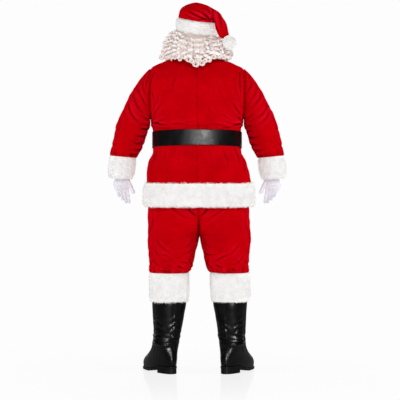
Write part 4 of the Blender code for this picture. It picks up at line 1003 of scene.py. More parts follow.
# ---------------------------------------------------------------- the belt
# A 77 mm strap of smooth black leather board, polished, with turned and inked edges. It passes round
# outside the jacket to a plain nickelled frame buckle with one prong at the front.
BELT_HEIGHT = 1.145
BELT_SLOPE = -0.08
BELT_HALF_WIDTH = 0.0385
BELT_THICKNESS = 0.0034
STRAP_LIFT = 0.0088
EDGE_ROUND = 0.0010


def belt_leather():
    """Polished black leather: near black, with a fine grain, and gloss that the handling has dulled
    in long soft smears, which spread the lamps' reflections along the strap."""
    material, tree, shader = new_material(
        "polished_black_belt_leather", "070707", 0.3, Specular_IOR_Level=0.35
    )
    place = add_node(tree, "ShaderNodeTexCoord").outputs["Object"]
    long_way = add_node(tree, "ShaderNodeMapping", {"Vector": place, "Scale": (1.0, 1.0, 0.35)})
    smear_size = {"Vector": long_way, "Scale": 26.0, "Detail": 4.0, "Roughness": 0.6}
    smears = add_node(tree, "ShaderNodeTexNoise", smear_size)
    dull = add_node(tree, "ShaderNodeMapRange", {"Value": smears, 1: 0.3, 2: 0.7, 3: 0.27, 4: 0.44})
    tree.links.new(dull.outputs[0], shader.inputs["Roughness"])
    # Grain pebbles of 0.6 mm, drawn at 1.6 mm, over ripples 70 mm apart.
    grain = add_node(tree, "ShaderNodeTexVoronoi", {"Vector": place, "Scale": 620.0})
    ripple = add_node(tree, "ShaderNodeTexNoise", {"Vector": place, "Scale": 14.0, "Detail": 2.0})
    fine = add_node(tree, "ShaderNodeBump", {"Strength": 0.25, "Distance": 0.0004, "Height": grain})
    soft = add_node(
        tree, "ShaderNodeBump", {"Strength": 0.28, "Distance": 0.004, "Height": ripple, "Normal": fine}
    )
    tree.links.new(soft.outputs[0], shader.inputs["Normal"])
    shade = add_node(tree, "ShaderNodeValToRGB", {0: smears})
    shade.color_ramp.elements[0].color = linear("040404")
    shade.color_ramp.elements[1].color = linear("0B0B0B")
    tree.links.new(shade.outputs[0], shader.inputs["Base Color"])
    return material


def belt_section(step):
    """The strap's rounded section, a number of 10 degree steps round from the buckle's middle. Its
    free end lies over its fixed end, and narrows to its tip."""
    lifted = STRAP_LIFT * float(ease((step - 30) / 4))
    half = BELT_HALF_WIDTH * (1 - 0.35 * float(ease(step - 37)) ** 2)
    around = math.pi / 2 + math.radians(10) * step
    row = body_row(BELT_MIDDLE)
    points = []
    thick, cut = BELT_THICKNESS, EDGE_ROUND
    outline = [
        (-half + cut, 0),
        (half - cut, 0),
        (half, cut),
        (half, thick - cut),
        (half - cut, thick),
        (half - 0.004, thick + 0.0002),
        (half - 0.006, thick - 0.0001),
        (0.5 * half, thick),
        (0, thick),
        (-0.5 * half, thick),
        (-half + 0.006, thick - 0.0001),
        (-half + 0.004, thick + 0.0002),
        (-half + cut, thick),
        (-half, thick - cut),
        (-half, cut),
    ]
    for level, out in outline:
        x, y = body_points(row, np.array([around]), SEAM_GAP + lifted + out)
        height = BELT_HEIGHT + BELT_SLOPE * y[0] + level
        points.append((x[0] + JACKET_SHIFT, y[0], height - SHOULDER_HEIGHT))
    return points


def add_loft(builder, sections):
    """A closed body through sections of equal counts of points, with its two ends filled."""
    rows = [[builder.verts.new(point) for point in section] for section in sections]
    for low, high in zip(rows, rows[1:]):
        for i in range(len(low)):
            j = (i + 1) % len(low)
            builder.faces.new((low[i], low[j], high[j], high[i])).smooth = True
    builder.faces.new(rows[0][::-1])
    builder.faces.new(rows[-1])


def built_object(name, builder):
    """An object of what the builder holds, facing out."""
    bmesh.ops.recalc_face_normals(builder, faces=builder.faces)
    mesh = bpy.data.meshes.new(name)
    builder.to_mesh(mesh)
    builder.free()
    return add_object(name, mesh)


def lofted(name, sections, material, sharp):
    """A loft as an object, with its edges over so many degrees left sharp."""
    builder = bmesh.new()
    add_loft(builder, sections)
    piece = built_object(name, builder)
    piece.data.materials.append(material)
    piece.data.set_sharp_from_angle(angle=math.radians(sharp))
    return piece


belt_steps = np.concatenate([np.linspace(-2, 37, 235), np.linspace(37, 38, 8)[1:]])
strap = lofted("belt_strap_leather", [belt_section(step) for step in belt_steps], belt_leather(), 50)
stands_for(strap, "belt_strap")

nickel, nickel_tree, nickel_shader = new_material("satin_nickel_plate", "BDB9B0", 0.28, Metallic=1.0)
# Nickel plate brushed one way: lines 0.3 mm apart, drawn at 1 mm, spread its reflections.
nickel_place = add_node(nickel_tree, "ShaderNodeTexCoord").outputs["Object"]
brushed = add_node(nickel_tree, "ShaderNodeMapping", {"Vector": nickel_place, "Scale": (1.0, 1.0, 0.08)})
lines = add_node(nickel_tree, "ShaderNodeTexNoise", {"Vector": brushed, "Scale": 1000.0, "Detail": 2.0})
spread = add_node(nickel_tree, "ShaderNodeMapRange", {"Value": lines, 1: 0.3, 2: 0.7, 3: 0.2, 4: 0.38})
nickel_tree.links.new(spread.outputs[0], nickel_shader.inputs["Roughness"])
for node_name in ("belt_buckle", "belt_prong"):
    metal_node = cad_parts[node_name]
    metal_node.data.materials.clear()
    metal_node.data.materials.append(nickel)
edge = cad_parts["belt_buckle"].modifiers.new("rounded_edges", "BEVEL")
edge.width = 0.0009
edge.segments = 3
edge.limit_method = "ANGLE"

# ---------------------------------------------------------------- the boots
# Tall black boots of polished leather on a welted rubber sole and a stacked heel. Each has a foot, a
# shaft sewn to it round the ankle and a strip over the seam up its back, and creases at the ankle.
# height, centre, heel, toe, half width, egg
BOOT_ROWS = np.array(
    [
        (0.000, 0.156, -0.070, 0.228, 0.0510, 0.13),
        (0.022, 0.156, -0.075, 0.230, 0.0530, 0.13),
        (0.045, 0.156, -0.076, 0.216, 0.0530, 0.11),
        (0.070, 0.157, -0.071, 0.176, 0.0530, 0.08),
        (0.100, 0.159, -0.062, 0.122, 0.0570, 0.04),
        (0.130, 0.160, -0.058, 0.086, 0.0615, 0.0),
        (0.180, 0.158, -0.062, 0.070, 0.0635, 0.0),
        (0.246, 0.155, -0.072, 0.076, 0.0690, 0.0),
        (0.290, 0.153, -0.078, 0.081, 0.0745, 0.0),
        (0.345, 0.1505, -0.084, 0.085, 0.0812, 0.0),
        (0.405, 0.1505, -0.085, 0.086, 0.0815, 0.0),
    ]
)
ANKLE_SEAM = 0.155
HEEL_HEIGHT = 0.036
HEEL_LENGTH = 0.092
SOLE_AT_TOE = 0.012
SOLE_WALL = 0.010
SHAFT_TOP = 0.405
LEATHER_WALL = 0.0022
BACK_STRIP = (0.180, 0.345)  # its foot and top
BACK_STRIP_TURN = math.radians(5)
# On the left boot, in mm, and mirrored to the right one.
BOOT_CREASES = [
    (-222, 159, -165, 150, -102, 157, 7, 5, 5, 6),
    (-218, 177, -190, 167, -160, 160, 6, 3, 3, 3),
    (-104, 181, -128, 169, -158, 160, 6, 3, 3, 3),
    (-222, 196, -190, 190, -170, 203, 7, 3, 3, 3),
    (-102, 200, -122, 193, -148, 206, 7, 3, 3, 3),
    (-214, 236, -184, 214, -172, 192, 9, 3, 3, 2),
    (-112, 240, -138, 216, -152, 194, 9, 3, 3, 3),
    (-218, 264, -190, 248, -178, 226, 10, 2, 2, 2),
    (-100, 272, -122, 257, -138, 236, 10, 2, 2, 2),
    (-212, 128, -219, 96, -218, 50, 4, 3, 1, 2),
    (-130, 136, -119, 104, -122, 56, 8, 2, 2, 2),
]


def boot_leather():
    """Polished black boot leather: near black, with a soft gloss that is cloudy where the polish is
    thin, a fine grain, and small level wrinkles."""
    material, tree, shader = new_material(
        "polished_black_boot_leather", "070707", 0.24, Specular_IOR_Level=0.4
    )
    place = add_node(tree, "ShaderNodeTexCoord").outputs["Object"]
    cloud_size = {"Vector": place, "Scale": 22.0, "Detail": 5.0, "Roughness": 0.62}
    cloudy = add_node(tree, "ShaderNodeTexNoise", cloud_size)
    dull = add_node(tree, "ShaderNodeMapRange", {"Value": cloudy, 1: 0.3, 2: 0.7, 3: 0.26, 4: 0.38})
    tree.links.new(dull.outputs[0], shader.inputs["Roughness"])
    shade = add_node(tree, "ShaderNodeValToRGB", {0: cloudy})
    shade.color_ramp.elements[0].position = 0.4
    shade.color_ramp.elements[0].color = linear("030303")
    shade.color_ramp.elements[1].position = 0.75
    shade.color_ramp.elements[1].color = linear("0B0B0A")
    tree.links.new(shade.outputs[0], shader.inputs["Base Color"])
    # Grain pebbles of 0.7 mm, drawn at 2 mm, over wrinkles 20 mm apart.
    grain = add_node(tree, "ShaderNodeTexVoronoi", {"Vector": place, "Scale": 480.0})
    level = add_node(tree, "ShaderNodeMapping", {"Vector": place, "Scale": (0.5, 0.5, 1.3)})
    wrinkles = add_node(tree, "ShaderNodeTexNoise", {"Vector": level, "Scale": 45.0, "Detail": 3.0})
    fine = add_node(tree, "ShaderNodeBump", {"Strength": 0.1, "Distance": 0.0005, "Height": grain})
    soft = add_node(
        tree, "ShaderNodeBump", {"Strength": 0.06, "Distance": 0.004, "Height": wrinkles, "Normal": fine}
    )
    tree.links.new(soft.outputs[0], shader.inputs["Normal"])
    return material


def above_sole(ahead, height):
    """Where a level of the upper lies once the sole's arch has lifted it over the heel."""
    arch = HEEL_HEIGHT + (SOLE_AT_TOE - HEEL_HEIGHT) * ease((ahead + 0.005) / 0.11)
    return height + arch * max(0.0, 1 - height / ANKLE_SEAM) + SEAM_GAP


def boot_grid(side, low, high, step, turns, move_out=0.0):
    heights = np.linspace(low, high, max(2, round((high - low) / step)))
    rings = []
    for height, *row in smooth_through(BOOT_ROWS[:, 0], BOOT_ROWS, heights):
        ring = boot_ring(height, *row, side, turns, move_out)
        ring[:, 2] = above_sole(boot_outline(*row[1:], turns, move_out)[0], height)
        rings.append(ring)
    return np.array(rings)


def boot_creased(grid, wraps):
    """Moves a grid of leather by its creases, its slack over the ankle and the dip of the ankle seam."""
    n, p = outward_normals(grid, wraps, row_middles(grid)).reshape(-1, 3), grid.reshape(-1, 3)
    rise = crease_rise(BOOT_CREASES, -np.abs(p[:, 0]), p[:, 2])
    slack = unevenness(p * (0.45, 0.45, 1.0), 0.020, 60)
    rise += 0.0016 * hump(p[:, 2] - 0.172, 0.030) * slack
    rise += 0.0014 * unevenness(p, 0.11, 61) * ease((p[:, 2] - 0.10) / 0.1)
    rise -= 0.0012 * hump(p[:, 2] - ANKLE_SEAM, 0.0022)
    return (p + n * rise[:, None]).reshape(grid.shape) - (0, 0, SHOULDER_HEIGHT)


boot_material = boot_leather()
# Black moulded rubber: matt, with mould grain of 0.5 mm, drawn at 1.5 mm, and dust in patches.
rubber, tree, shader = new_material("black_moulded_rubber", "0C0C0C", 0.5, Specular_IOR_Level=0.2)
place = add_node(tree, "ShaderNodeTexCoord").outputs["Object"]
grain = add_node(tree, "ShaderNodeTexNoise", {"Vector": place, "Scale": 650.0, "Detail": 2.0})
lift = add_node(tree, "ShaderNodeBump", {"Strength": 0.3, "Distance": 0.0005, "Height": grain})
tree.links.new(lift.outputs[0], shader.inputs["Normal"])
dust = add_node(tree, "ShaderNodeTexNoise", {"Vector": place, "Scale": 60.0, "Detail": 4.0})
shade = add_node(tree, "ShaderNodeValToRGB", {0: dust})
shade.color_ramp.elements[0].color = linear("090909")
shade.color_ramp.elements[1].color = linear("1A1918")
tree.links.new(shade.outputs[0], shader.inputs["Base Color"])

for name, side in SIDES:
    turns = full_turn(96)
    for part, low, high in (("foot", 0.0, ANKLE_SEAM - SEAM_GAP), ("shaft", ANKLE_SEAM, SHAFT_TOP)):
        formed = boot_creased(boot_grid(side, low, high, 0.0045, turns), True)
        upper = surface(f"boot_{part}_{name}_leather", formed, True, boot_material, row_middles(formed))
        thicken(upper, LEATHER_WALL)
        stands_for(upper, f"boot_{part}_{name}")
    # The back strip, sewn down both edges.
    behind = 1.5 * math.pi + np.linspace(-BACK_STRIP_TURN, BACK_STRIP_TURN, 7)
    inner, outer = (
        boot_creased(boot_grid(side, *BACK_STRIP, 0.005, behind, move_out), False)
        for move_out in (0.0006, 0.0018)
    )
    bowed = 0.6 + 1.1 * np.sin(np.linspace(0, math.pi, 7))[:, None]
    sections = [np.concatenate([a, (a + (b - a) * bowed)[::-1]]) for a, b in zip(inner, outer)]
    strip = lofted(f"boot_back_strip_{name}_leather", sections, boot_material, 50)
    stands_for(strip, f"boot_back_strip_{name}")
    # The sole, with a groove under its welt, and the heel's four lifts.
    _, centre, *foot = BOOT_ROWS[0]
    sections = []
    for turn in np.linspace(-0.5, 0.5, 60) * math.pi:
        ahead, half = boot_outline(*foot, turn, 0.004)
        half = max(0.010, half)
        low = (HEEL_HEIGHT - SOLE_WALL) * (1 - float(ease((ahead - 0.032) / 0.075)))
        high = float(above_sole(ahead, 0)) - SEAM_GAP
        middle = high - 0.0042
        outline = [(-half + 0.001, low), (half - 0.001, low), (half, low + 0.001)]
        outline += [(half, middle - 0.0006), (half - 0.0012, middle), (half, middle + 0.0006)]
        outline += [(half, high - 0.0008), (half - 0.001, high)]
        outline += [(-a, z) for a, z in outline[:1:-1]]
        section = []
        for across, z in outline:
            x, y = turned_out(ahead, across)
            section.append((side * (centre + x), y, z - SHOULDER_HEIGHT))
        sections.append(section)
    lift = (HEEL_HEIGHT - SOLE_WALL - SEAM_GAP) / 4
    lift_edges = ((0.0, 0.0012), (0.08, 0.002), (0.92, 0.002), (1.0, 0.0012))
    heel_sections = []
    for height, reach in [(lift * (k + share), reach) for k in range(4) for share, reach in lift_edges]:
        ahead, across = boot_outline(*foot, turns, reach)
        keep = ahead <= HEEL_LENGTH + foot[0]
        order = np.argsort(np.where(keep, (turns - math.pi / 2) % (2 * math.pi), 99))[: keep.sum()]
        x, y = turned_out(ahead[order], across[order])
        heel_sections.append(level_ring(side * (centre + x), y, height - SHOULDER_HEIGHT))
    for part, built in (("sole", sections), ("heel", heel_sections)):
        piece = lofted(f"boot_{part}_{name}_rubber", built, rubber, 35)
        stands_for(piece, f"boot_{part}_{name}")

# ---------------------------------------------------------------- the gloves
# Short white gloves of fine stretch knit, one thickness of cloth, with five fingers. Their wrists
# end inside the fur cuffs, and the hands hang relaxed with the fingers a little bent.
GLOVE_Y = 0.027
GLOVE_WALL = 0.0012
# name, base x and height, tip x and height, radius, curl toward the back
FINGERS = [
    ("little", 0.3985, 0.905, 0.3850, 0.8700, 0.0079, 0.020),
    ("ring", 0.3815, 0.905, 0.3680, 0.8550, 0.0085, 0.026),
    ("middle", 0.3640, 0.905, 0.3505, 0.8415, 0.0088, 0.028),
    ("index", 0.3470, 0.905, 0.3345, 0.8400, 0.0086, 0.024),
    ("thumb", 0.3420, 0.945, 0.3150, 0.8900, 0.0112, 0.010),
]
# height, centre, half width, half depth
PALM_ROWS = np.array(
    [
        (0.895, 0.3725, 0.0310, 0.0110),
        (0.905, 0.3735, 0.0350, 0.0150),
        (0.925, 0.3770, 0.0370, 0.0190),
        (0.948, 0.3730, 0.0360, 0.0210),
        (0.965, 0.3700, 0.0330, 0.0230),
        (0.985, 0.3715, 0.0400, 0.0300),
        (1.010, 0.3723, 0.0534, 0.0440),
    ]
)
GLOVE_CREASES = [
    (-392, 918, -386, 896, -377, 868, 3.5, 2.2, 0.6, 0.6),
    (-375, 920, -369, 892, -359, 852, 3.5, 2.2, 0.6, 0.6),
    (-358, 920, -352, 890, -342, 846, 3.5, 2.2, 0.6, 0.6),
    (-392, 925, -374, 918, -356, 922, 4, 2, 0.8, 0.8),
    (-395, 968, -372, 964, -350, 968, 4, 2, 1, 1),
    (-402, 940, -385, 952, -366, 955, 5, 1.5, 1, 1),
    (-352, 950, -360, 938, -362, 920, 5, 1.5, 1, 1),
    (-398, 900, -380, 898, -352, 901, 4, 1.5, 1, 1),
]


def knit():
    """Fine white knit: matt yarn with a cool cast, and vertical ribs of stitches that soften its shade."""
    material, tree, shader = new_material(
        "white_nylon_knit", "E9E5EC", 0.8, Sheen_Weight=0.2, Sheen_Roughness=0.4, Specular_IOR_Level=0.25
    )
    place = add_node(tree, "ShaderNodeTexCoord").outputs["Object"]
    # Stitches 0.8 mm wide, drawn at 2 mm.
    wave = {"Vector": place, "Scale": 160.0, "Distortion": 0.6}
    ribs = add_node(tree, "ShaderNodeTexWave", {**wave, "Detail": 1.0}).outputs[1]
    rows = add_node(tree, "ShaderNodeTexWave", wave, bands_direction="Z").outputs[1]
    both = add_node(tree, "ShaderNodeMath", {0: ribs, 1: rows}, operation="MULTIPLY")
    lift = add_node(tree, "ShaderNodeBump", {"Strength": 0.3, "Distance": 0.0006, "Height": both})
    tree.links.new(lift.outputs[0], shader.inputs["Normal"])
    tone = add_node(tree, "ShaderNodeTexNoise", {"Vector": place, "Scale": 70.0, "Detail": 3.0})
    shade = add_node(tree, "ShaderNodeValToRGB", {0: tone})
    shade.color_ramp.elements[0].color = linear("DCD6E0")
    shade.color_ramp.elements[1].color = linear("F1EEF4")
    tree.links.new(shade.outputs[0], shader.inputs["Base Color"])
    return material


def finger_ring(side, x, y, z, size, turns):
    return [(side * (x + size * math.cos(a)), y + size * math.sin(a), z) for a in turns]


knit_material = knit()
for name, side in SIDES:
    builder = bmesh.new()
    turns = full_turn(48)
    rings = []
    levels = np.linspace(PALM_ROWS[0, 0], PALM_ROWS[-1, 0], 40)
    for height, centre, half_width, depth in smooth_through(PALM_ROWS[:, 0], PALM_ROWS, levels):
        x = centre + half_width * power(np.cos(turns), 2 / 2.3)
        rings.append(level_ring(side * x, GLOVE_Y + depth * power(np.sin(turns), 2 / 2.3), height))
    add_loft(builder, rings)
    for _, base_x, base_z, tip_x, tip_z, radius, curl in FINGERS:
        rings = []
        for t in np.linspace(-0.15, 1, 16):
            knuckle = 1 + 0.05 * math.cos(4 * math.pi * t)
            size = radius * (1 - 0.12 * t) * knuckle
            x, z = base_x + (tip_x - base_x) * t, base_z + (tip_z - base_z) * t
            rings.append(finger_ring(side, x, GLOVE_Y - curl * t * abs(t), z, size, turns[::3]))
        size = radius * 0.88
        for angle in np.radians((20, 40, 60, 78)):
            level, width = tip_z - size * math.sin(angle), size * math.cos(angle)
            rings.append(finger_ring(side, tip_x, GLOVE_Y - curl, level, width, turns[::3]))
        add_loft(builder, rings)
    blank = built_object(f"glove_{name}_blank", builder)
    joined = blank.modifiers.new("joined", "REMESH")
    joined.mode = "VOXEL"
    joined.voxel_size = 0.0029
    soft = blank.modifiers.new("soft", "SMOOTH")
    soft.factor = 0.5
    soft.iterations = 1
    bpy.context.view_layer.update()
    made = bpy.data.meshes.new_from_object(blank.evaluated_get(bpy.context.evaluated_depsgraph_get()))
    bpy.data.objects.remove(blank)
    points, normals = np.empty((2, len(made.vertices), 3))
    made.vertices.foreach_get("co", points.ravel())
    made.vertices.foreach_get("normal", normals.ravel())
    rise = crease_rise(GLOVE_CREASES, -np.abs(points[:, 0]), points[:, 2]) * (np.abs(normals[:, 1]) > 0.3)
    rise += 0.0006 * unevenness(points, 0.016, 70 + side)
    points = points + normals * rise[:, None] + (JACKET_SHIFT, 0, -SHOULDER_HEIGHT)
    made.vertices.foreach_set("co", np.ascontiguousarray(points, np.float32).ravel())
    builder = bmesh.new()
    builder.from_mesh(made)
    # The wrist is open at its top.
    top = 1.0075 - SHOULDER_HEIGHT
    wrist = [f for f in builder.faces if f.calc_center_median().z > top and f.normal.z > 0.4]
    bmesh.ops.delete(builder, geom=wrist, context="FACES")
    for f in builder.faces:
        f.smooth = True
    builder.to_mesh(made)
    builder.free()
    made.materials.clear()
    made.materials.append(knit_material)
    glove = add_object(f"glove_{name}_knit", made)
    thicken(glove, GLOVE_WALL)
    stands_for(glove, f"glove_{name}")

# ---------------------------------------------------------------- the wig
# A cap of white synthetic hair set in tight ringlets, worn under the hat. The curls are smoother
# under the hat's band, and end over the shoulders in open rings.
WIG_MIDDLE = -0.006  # how far the head is off the middle of the stance
HAT_CENTRE = Vector((WIG_MIDDLE, 0.0, 1.708))
HAT_TILT = (math.radians(9.1), math.radians(7.9), 0)
# height, half width, depth behind, depth ahead, share of the hat's slope
WIG_ROWS = np.array(
    [
        (1.515, 0.1150, 0.156, 0.100, 0.0),
        (1.540, 0.1500, 0.160, 0.110, 0.0),
        (1.562, 0.1660, 0.162, 0.116, 0.0),
        (1.590, 0.1660, 0.160, 0.116, 0.2),
        (1.620, 0.1540, 0.154, 0.114, 0.4),
        (1.650, 0.1320, 0.142, 0.112, 0.8),
        (1.672, 0.1080, 0.122, 0.110, 1.0),
        (1.6775, 0.0905, 0.1075, 0.1075, 1.0),
        (1.712, 0.0905, 0.1075, 0.1075, 1.0),
    ]
)
FACE_HALF_WIDTH = 0.082
FACE_TOP = 1.672
# Open ring curls at the lower edge, in mm: x, height, radius
RING_CURLS = [
    (-184, 1552, 14), (-158, 1548, 11), (-132, 1551, 14), (-104, 1551, 15), (-76, 1548, 13),
    (-50, 1534, 16), (-16, 1511, 17), (14, 1515, 15), (46, 1534, 16), (72, 1546, 12),
    (98, 1551, 13), (122, 1549, 13), (148, 1550, 13), (-92, 1536, 10), (-33, 1524, 11),
    (30, 1526, 10), (0, 1531, 12), (160, 1572, 11), (-176, 1580, 12), (-162, 1604, 11),
    (-146, 1634, 10), (150, 1598, 11), (138, 1624, 10), (-120, 1652, 9),
]  # fmt: skip


def white_hair():
    """White acrylic hair: fine fibres with a soft gloss along each lock. Its colour is painted white
    where the locks would catch the light and warm beige as painted shade deep between them, and it
    glows a little in a warm tint as painted light."""
    material, tree, shader = new_material(
        "white_acrylic_hair",
        "F4F0EE",
        0.4,
        Specular_IOR_Level=0.4,
        Sheen_Weight=0.15,
        Emission_Color=linear("EDE1DC"),
        Emission_Strength=0.13,
    )
    strand = add_node(tree, "ShaderNodeAttribute", attribute_name="strand").outputs["Vector"]
    # Fibres of 0.1 mm, drawn as strands 1.5 mm across and 15 mm long down the lock.
    fibre = add_node(tree, "ShaderNodeTexNoise", {"Vector": strand, "Scale": 0.7, "Detail": 2.0})
    streak = add_node(tree, "ShaderNodeMath", {0: fibre, 1: 0.8, 2: -0.42}, operation="MULTIPLY_ADD")
    # Painted light and shade: the shade attribute runs the colour from dark beige AC938B, painted deep
    # between the locks, to near white EFEAE8 where they face out.
    shade = add_node(tree, "ShaderNodeAttribute", attribute_name="shade").outputs["Fac"]
    both = add_node(tree, "ShaderNodeMath", {0: streak, 1: shade}, operation="ADD")
    tone = add_node(tree, "ShaderNodeValToRGB", {0: both})
    tone.color_ramp.elements[0].color = linear("AC938B")
    tone.color_ramp.elements[1].position = 0.85
    tone.color_ramp.elements[1].color = linear("EFEAE8")
    tone.color_ramp.elements.new(0.42).color = linear("CFBFB9")
    tree.links.new(tone.outputs[0], shader.inputs["Base Color"])
    lift = add_node(tree, "ShaderNodeBump", {"Strength": 0.4, "Distance": 0.0006, "Height": fibre})
    tree.links.new(lift.outputs[0], shader.inputs["Normal"])
    return material


def lay_strands(piece, strand, shade):
    """Keeps at each point where it lies across and down its lock, in mm and cm, and its painted light and
    shade.
    """
    for name, kind, field, values in (
        ("strand", "FLOAT_VECTOR", "vector", strand),
        ("shade", "FLOAT", "value", shade),
    ):
        layer = piece.data.attributes.new(name, kind, "POINT")
        layer.data.foreach_set(field, values.astype(np.float32).ravel())


hair = white_hair()
hat_matrix = np.array(Matrix.Translation(HAT_CENTRE) @ Euler(HAT_TILT).to_matrix().to_4x4())


def in_hat_axes(points):
    return points @ hat_matrix[:3, :3].T + hat_matrix[:3, 3]


def wig_point(height, turn, move_out=0.0):
    """A point of the wig's outside, in the suit's axes, at a height and a turn from the wearer's right."""
    _, half_width, back, front, tilt = smooth_through(WIG_ROWS[:, 0], WIG_ROWS, np.array([height]))[0]
    depth = (front if math.sin(turn) >= 0 else back) + move_out
    x, y = (half_width + move_out) * math.cos(turn), depth * math.sin(turn)
    upright = np.array([x + HAT_CENTRE.x, y, height])
    sloping = in_hat_axes(np.array([x, y, height - HAT_CENTRE.z]))
    return upright + (sloping - upright) * tilt


def wig_here(point, margin=0.0):
    """Whether the wig has hair at a point: clear of the face and of the jacket's shoulders."""
    x, y, height = point
    if abs(x - HAT_CENTRE.x) < FACE_HALF_WIDTH - margin and y > 0.02 + margin and height < FACE_TOP:
        return False
    if height > BODY_ROWS[-1, 0]:
        return True
    row = body_row(height)
    depth = row[3] if y > 0 else row[2]
    return (abs(x - JACKET_SHIFT) / row[1]) ** row[4] + (abs(y) / depth) ** row[4] > 1.0


heights = np.linspace(1.538, WIG_ROWS[-1, 0], 46)
turns = full_turn(130)
cap = np.array([[wig_point(h, t, -0.010) for t in turns] for h in heights])
normals = outward_normals(cap, True, cap.mean(axis=(0, 1))).reshape(-1, 3)
cap_points = cap.reshape(-1, 3)
lumps = 0.003 * unevenness(cap_points, 0.030, 80) + 0.002 * unevenness(cap_points, 0.014, 81)
cap_points = cap_points + normals * lumps[:, None]
index = np.arange(len(cap_points)).reshape(cap.shape[:2])
beside = np.roll(index, -1, axis=1)
quads = np.stack([index[:-1], beside[:-1], beside[1:], index[1:]], axis=-1).reshape(-1, 4)
held_faces = np.array([quad for quad in quads if all(wig_here(cap_points[k]) for k in quad)])
cap_piece = mesh_piece("wig_hair_cap", cap_points - (0, 0, SHOULDER_HEIGHT), [held_faces], hair)
around = np.broadcast_to(turns * 130, cap.shape[:2])
cap_strands = np.stack([around, cap[..., 2] * 100, around * 0], axis=-1)
# The cap lies deep under the locks, so it is painted dark beige as shade.
lay_strands(cap_piece, cap_strands, np.full(cap.shape[:2], 0.22))
thicken(cap_piece, 0.006)
stands_for(cap_piece, "wig_hair")


def wig_frame(height, turn):
    """A point of the outside and its outward direction there."""
    here = wig_point(height, turn)
    up = wig_point(min(height + 0.004, 1.711), turn) - wig_point(height - 0.004, turn)
    outward = unit(np.cross(wig_point(height, turn + 0.03) - here, up))
    if outward @ (here - (HAT_CENTRE.x, 0, height)) < 0:
        outward = -outward
    return here, outward


def hanging(top, foot, turn, lean):
    """The line of a lock down the wig's outside, with the outward direction at each point."""
    frames = [wig_frame(top + (foot - top) * s, turn + lean * s) for s in np.linspace(0, 1, 10)]
    return np.array([f[0] for f in frames]), np.array([f[1] for f in frames])


def along_line(points, share):
    knots = np.linspace(0, 1, len(points))
    return np.stack([np.interp(share, knots, points[:, k]) for k in range(3)], axis=1)


draw = np.random.default_rng(90)
locks, lock_faces, lock_strands, lock_shades = [], [], [], []


def keep_lock(path, across, crown, shade):
    """Adds a lock as a bowed ribbon, from its middle line and the vectors to one edge and to its crown."""
    ends = np.minimum(np.arange(len(path)), np.arange(len(path))[::-1])
    across = across * np.minimum(1, ends / 3 + 0.25)[:, None]
    lanes = [path - across, path - 0.4 * across + crown, path + 0.4 * across + crown, path + across]
    index = 4 * sum(len(part) for part in locks) + np.arange(4 * len(path)).reshape(-1, 4)
    corners = (index[:-1, :-1], index[1:, :-1], index[1:, 1:], index[:-1, 1:])
    locks.append(np.stack(lanes, axis=1))
    lock_faces.append(np.stack(corners, axis=-1).reshape(-1, 4))
    down = np.concatenate([[0], np.cumsum(np.linalg.norm(np.diff(path, axis=0), axis=1))]) * 100
    width = 1000 * np.linalg.norm(across, axis=1)[:, None] * (-1, -0.4, 0.4, 1) + 40 * len(locks)
    lock_strands.append(np.stack([width, down[:, None] + 0 * width, 0 * width], axis=-1))
    # Each ribbon's edges are painted darker and its crown lighter, as painted shade and light.
    lock_shades.append((shade + 0 * down)[:, None] + np.array([-0.22, 0.06, 0.06, -0.22]))


def ringlet(line, outward, radius, pitch, sunk, bright):
    """A lock wound round a hanging line, wider at its end, painted white on its outer side and darker on
    its inner side, as painted light and shade.
    """
    rounds = np.linalg.norm(np.diff(line, axis=0), axis=1).sum() / pitch
    share = np.linspace(0, 1, max(8, int(rounds * 10)))
    centre, out = along_line(line, share), along_line(outward, share)
    down = unit(np.gradient(centre, axis=0))
    aside = np.cross(down, out)
    angle = draw.uniform(0, 6.28) + draw.choice((-1, 1)) * 2 * math.pi * rounds * share
    size = radius * (0.72 + 0.38 * share + 0.16 * np.sin(angle * 0.31 + 1))
    ring = out * np.cos(angle)[:, None] + aside * np.sin(angle)[:, None]
    sway = 0.004 * np.sin(5 * share + draw.uniform(0, 6.28))[:, None]
    path = centre - out * sunk + aside * sway + out * sway[::-1] + ring * size[:, None]
    # Painted light and shade: each turn is lighter where it faces out and darker where it faces in.
    shade = bright * (0.42 + 0.42 * np.cos(angle)) + 0.16 * np.sin(angle * 0.43)
    keep_lock(path, down * pitch * 0.33 + ring * 0.0012, ring * 0.0026, shade)


# Ringlets: an outer layer 24 mm apart, and a layer sunk between them. At the middle of the back they
# start lower, under the waved locks.
for layer, spacing, sunk in ((0, 0.024, 0.006), (1, 0.022, 0.017)):
    turn = 0.08 * layer
    while turn < 2 * math.pi:
        here, _ = wig_frame(1.600, turn)
        at_back = here[1] < 0 and abs(here[0] - WIG_MIDDLE) < 0.074
        top = draw.uniform(1.574, 1.592) if at_back else draw.uniform(1.664, 1.682)
        dip = 0.026 * math.exp(-(((here[0] - WIG_MIDDLE) / 0.045) ** 2)) if here[1] < 0 else 0.0
        foot = draw.uniform(1.532, 1.556) - dip + 0.008 * layer
        line, outward = hanging(top, foot, turn, draw.uniform(-0.08, 0.08))
        clear = [wig_here(point, 0.004) for point in line]
        count = len(clear) if all(clear) else clear.index(False)
        if count > 3:
            radius = draw.uniform(0.0100, 0.0150)
            pitch = draw.uniform(0.0180, 0.0290)
            # Besides a random tone per lock, the sunk layer is painted darker as shade.
            bright = draw.uniform(0.75, 1.15) - 0.25 * layer
            ringlet(line[:count], outward[:count], radius, pitch, sunk, bright)
        turn += spacing / np.linalg.norm(here[:2]) * draw.uniform(0.85, 1.2)

